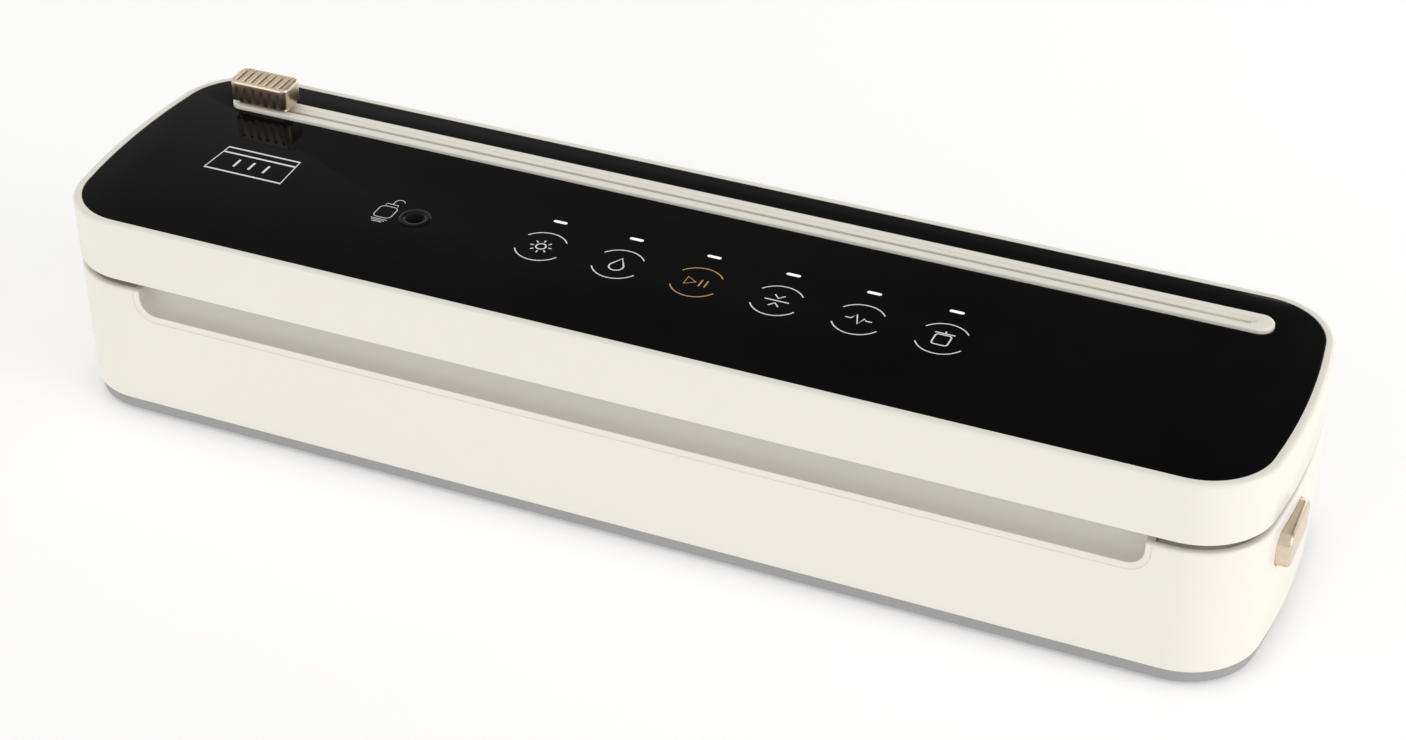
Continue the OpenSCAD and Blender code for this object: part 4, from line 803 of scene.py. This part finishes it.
def blob(bm, pts):
    """Filled patch of ink with a convex outline."""
    top = [bm.verts.new((x * MM, y * MM, INK_Z1 * MM)) for x, y in pts]
    low = [bm.verts.new((x * MM, y * MM, INK_Z0 * MM)) for x, y in pts]
    bm.faces.new(top)
    bm.faces.new(list(reversed(low)))
    for i in range(len(pts)):
        j = (i + 1) % len(pts)
        bm.faces.new((top[i], low[i], low[j], top[j]))


def drop(cx, cy, s):
    """Outline of a water drop."""
    pts = arc(cx, cy - s * 0.3, s * 0.62, -220, 40, 20)
    return pts + [(cx, cy + s)]


def key_icon(bm, i, x, y):
    """The pictogram of key i, centred on (x, y)."""
    w = ICON_INK
    if i == 0:      # dry: sun
        stroke(bm, arc(x, y, 1.45, 0, 360, 28)[:-1], w, True)
        for k in range(8):
            a = PI / 4 * k
            stroke(bm, [(x + r * math.cos(a), y + r * math.sin(a)) for r in (2.3, 3.3)], w)
    elif i == 1:    # moist: drop
        stroke(bm, drop(x, y - 0.2, 3.4), w, True)
    elif i == 2:    # start and stop
        stroke(bm, [(x - 3.2, y - 1.9), (x - 3.2, y + 1.9), (x - 0.2, y)], w, True)
        stroke(bm, [(x + 1.2, y - 1.7), (x + 1.2, y + 1.7)], w)
        stroke(bm, [(x + 2.9, y - 1.7), (x + 2.9, y + 1.7)], w)
    elif i == 3:    # seal: two jaws on a line
        stroke(bm, [(x - 3.6, y), (x + 3.6, y)], w)
        for s in (-1, 1):
            stroke(bm, [(x - 1.5, y + s * 2.9), (x, y + s * 1.2), (x + 1.5, y + s * 2.9)], w)
    elif i == 4:    # pulse
        stroke(bm, [(x - 3.9, y), (x - 2.2, y), (x - 1.2, y + 2.3), (x + 0.4, y - 2.3), (x + 1.5, y + 1.0),
                    (x + 2.1, y), (x + 3.9, y)], w)
    else:           # canister
        stroke(bm, rounded(4.6, 5.0, 0.9, 5, x, y - 0.6), w, True)
        stroke(bm, [(x - 2.9, y + 2.6), (x + 2.9, y + 2.6)], w)
        stroke(bm, [(x, y + 2.7), (x, y + 3.7)], w)


inks = {"white": bmesh.new(), "gold": bmesh.new()}
for i, x in enumerate(KEYS):
    bm = inks["gold" if i == 2 else "white"]
    for a0, a1 in ((35, 145), (209, 331)):
        stroke(bm, arc(x, KEY_Y, RING_R, a0, a1, 40), RING_INK)
    key_icon(bm, i, x, KEY_Y)
# canister with its hose, beside the port
gx, gy = PORT_X - 9.6, PORT_Y + 0.4
bm = inks["white"]
stroke(bm, rounded(5.6, 6.2, 1.5, 6, gx, gy - 0.4), FINE_INK, True)
stroke(bm, [(gx - 1.9, gy + 3.2), (gx - 1.9, gy + 4.1), (gx + 1.9, gy + 4.1), (gx + 1.9, gy + 3.2)], FINE_INK)
stroke(bm, [(gx, gy + 4.2), (gx, gy + 5.4)] + arc(gx + 1.5, gy + 5.6, 1.5, 175, 20, 12), FINE_INK)
for k in range(3):
    half, y = 2.6 - 0.5 * k, gy - 4.5 - 0.75 * k
    stroke(bm, [(gx - half, y), (gx + half, y)], FINE_INK)
# a plain pouch with its seal line
mx, my = -137.5, -2.0
pouch = [(mx - 13, my - 6.5), (mx + 13, my - 6.5), (mx + 12.2, my + 6.5), (mx - 12.2, my + 6.5)]
stroke(bm, pouch, MARK_INK, True)
stroke(bm, [(mx - 12.3, my + 3.6), (mx + 12.3, my + 3.6)], MARK_INK)
for k in range(3):
    stroke(bm, [(mx - 5 + 5 * k, my - 3.2), (mx - 5 + 5 * k, my + 1.0)], MARK_INK)
new_object("white_prints", inks["white"], WHITE_INK, "lid")
new_object("gold_print", inks["gold"], GOLD_INK, "lid")
bm = bmesh.new()
for x in KEYS:
    blob(bm, rounded(LIGHT_L, LIGHT_W, 0.599, 8, x - KEY_SHIFT, LIGHT_Y))
new_object("light_windows", bm, MATS["light_lens"], "lid")

# Hose port: lip with a rolled edge round the bore
lip = [(4.1, Z_TOP - 0.6), (4.1, Z_TOP + 0.01), (4.75, Z_TOP + 0.01), (4.72, Z_TOP + 0.2), (4.5, Z_TOP + 0.38),
       (4.1, Z_TOP + 0.45), (3.5, Z_TOP + 0.4), (3.1, Z_TOP + 0.22), (2.92, Z_TOP - 0.1), (2.92, Z_TOP - 0.6)]
rings = [at(circle(PORT_X, PORT_Y, r, 48), z) for r, z in lip]
new_object("port_lip", loft(rings, closed=True), MATS["port_gloss"], "lid", 40)

# ---------- Floor, light, camera ----------

m, nt, p = tree("studio_floor")
co = nt.nodes.new("ShaderNodeTexCoord")
tone = mix(nt, ramp(nt, noise(nt, co, 3.0), 0.0, 1.0), (0.94, 0.94, 0.94), (0.96, 0.96, 0.96))
nt.links.new(tone, p.inputs["Base Color"])
nt.links.new(ramp(nt, noise(nt, co, 300.0), 0.6, 0.75), p.inputs["Roughness"])
p.inputs["Specular IOR Level"].default_value = 0.1
p.inputs["Emission Color"].default_value = (1.0, 1.0, 1.0, 1)
p.inputs["Emission Strength"].default_value = 0.19
bm = bmesh.new()
bmesh.ops.create_grid(bm, x_segments=4, y_segments=4, size=4.0)
floor = new_object("studio_ground", bm, m)

# The low sky behind and to the right is dimmer, so the glass stays black
SKY_FRONT, SKY_BACK = 0.80, 0.24
world = bpy.data.worlds.new("studio")
bpy.context.scene.world = world
world.use_nodes = True
nt = world.node_tree
sky = nt.nodes["Background"]
sky.inputs["Color"].default_value = (1.0, 0.995, 0.985, 1)
co = nt.nodes.new("ShaderNodeTexCoord")
axes = nt.nodes.new("ShaderNodeSeparateXYZ")
nt.links.new(co.outputs["Generated"], axes.inputs["Vector"])
both = add(nt, "ShaderNodeMath", operation="MULTIPLY")
nt.links.new(ramp(nt, axes.outputs["Y"], 0.0, 1.0, 0.1, 0.6), both.inputs[0])
nt.links.new(ramp(nt, axes.outputs["Z"], 0.0, 1.0, 0.25, 0.45), both.inputs[1])
dim = add(nt, "ShaderNodeMath", operation="MULTIPLY")
nt.links.new(both.outputs[0], dim.inputs[0])
nt.links.new(ramp(nt, axes.outputs["X"], 0.0, 1.0, -0.55, -0.2), dim.inputs[1])
nt.links.new(ramp(nt, dim.outputs[0], SKY_FRONT, SKY_BACK, 0.0, 1.0), sky.inputs["Strength"])


def lamp(name, place, aim, size, power, colour=(1, 1, 1)):
    """Rectangular lamp of power watts at a place, pointed at aim; all in metres."""
    d = bpy.data.lights.new(name, "AREA")
    d.shape = "RECTANGLE"
    d.size, d.size_y = size
    d.energy = power
    d.color = colour
    o = bpy.data.objects.new(name, d)
    o.location = place
    o.rotation_euler = (Vector(aim) - Vector(place)).to_track_quat("-Z", "Y").to_euler()
    bpy.context.scene.collection.objects.link(o)


lamp("key_light", (-0.9, -1.5, 0.9), (0, 0, 0.03), (1.0, 0.8), 3.5, (1.0, 0.99, 0.975))
lamp("side_light", (1.7, -0.1, 0.55), (0.15, 0, 0.03), (0.8, 0.8), 8.0)
lamp("rear_light", (0.5, 1.6, 0.5), (0, 0, 0.03), (1.2, 0.5), 4.0)

# Camera, solved from the photograph's outline
PHOTO_W, FOCAL_PX, SENSOR = 1406.0, 2804.0, 36.0
az, el, roll = math.radians(23.51), math.radians(34.29), math.radians(-0.21)
right = Vector((math.cos(az), math.sin(az), 0))
back = Vector((math.sin(az) * math.cos(el), -math.cos(az) * math.cos(el), math.sin(el)))
up = back.cross(right)
across = right * math.cos(roll) + up * math.sin(roll)
upward = up * math.cos(roll) - right * math.sin(roll)
cam_data = bpy.data.cameras.new("photo_camera")
cam_data.sensor_width = SENSOR
cam_data.lens = FOCAL_PX / PHOTO_W * SENSOR
cam_data.clip_start = 0.01
cam = bpy.data.objects.new("photo_camera", cam_data)
place = Vector((0.2743, -0.6134, 0.4862))
cam.matrix_world = Matrix(((across.x, upward.x, back.x, place.x), (across.y, upward.y, back.y, place.y),
                           (across.z, upward.z, back.z, place.z), (0, 0, 0, 1)))
bpy.context.scene.collection.objects.link(cam)
bpy.context.scene.camera = cam
bpy.context.scene.view_settings.view_transform = "Standard"
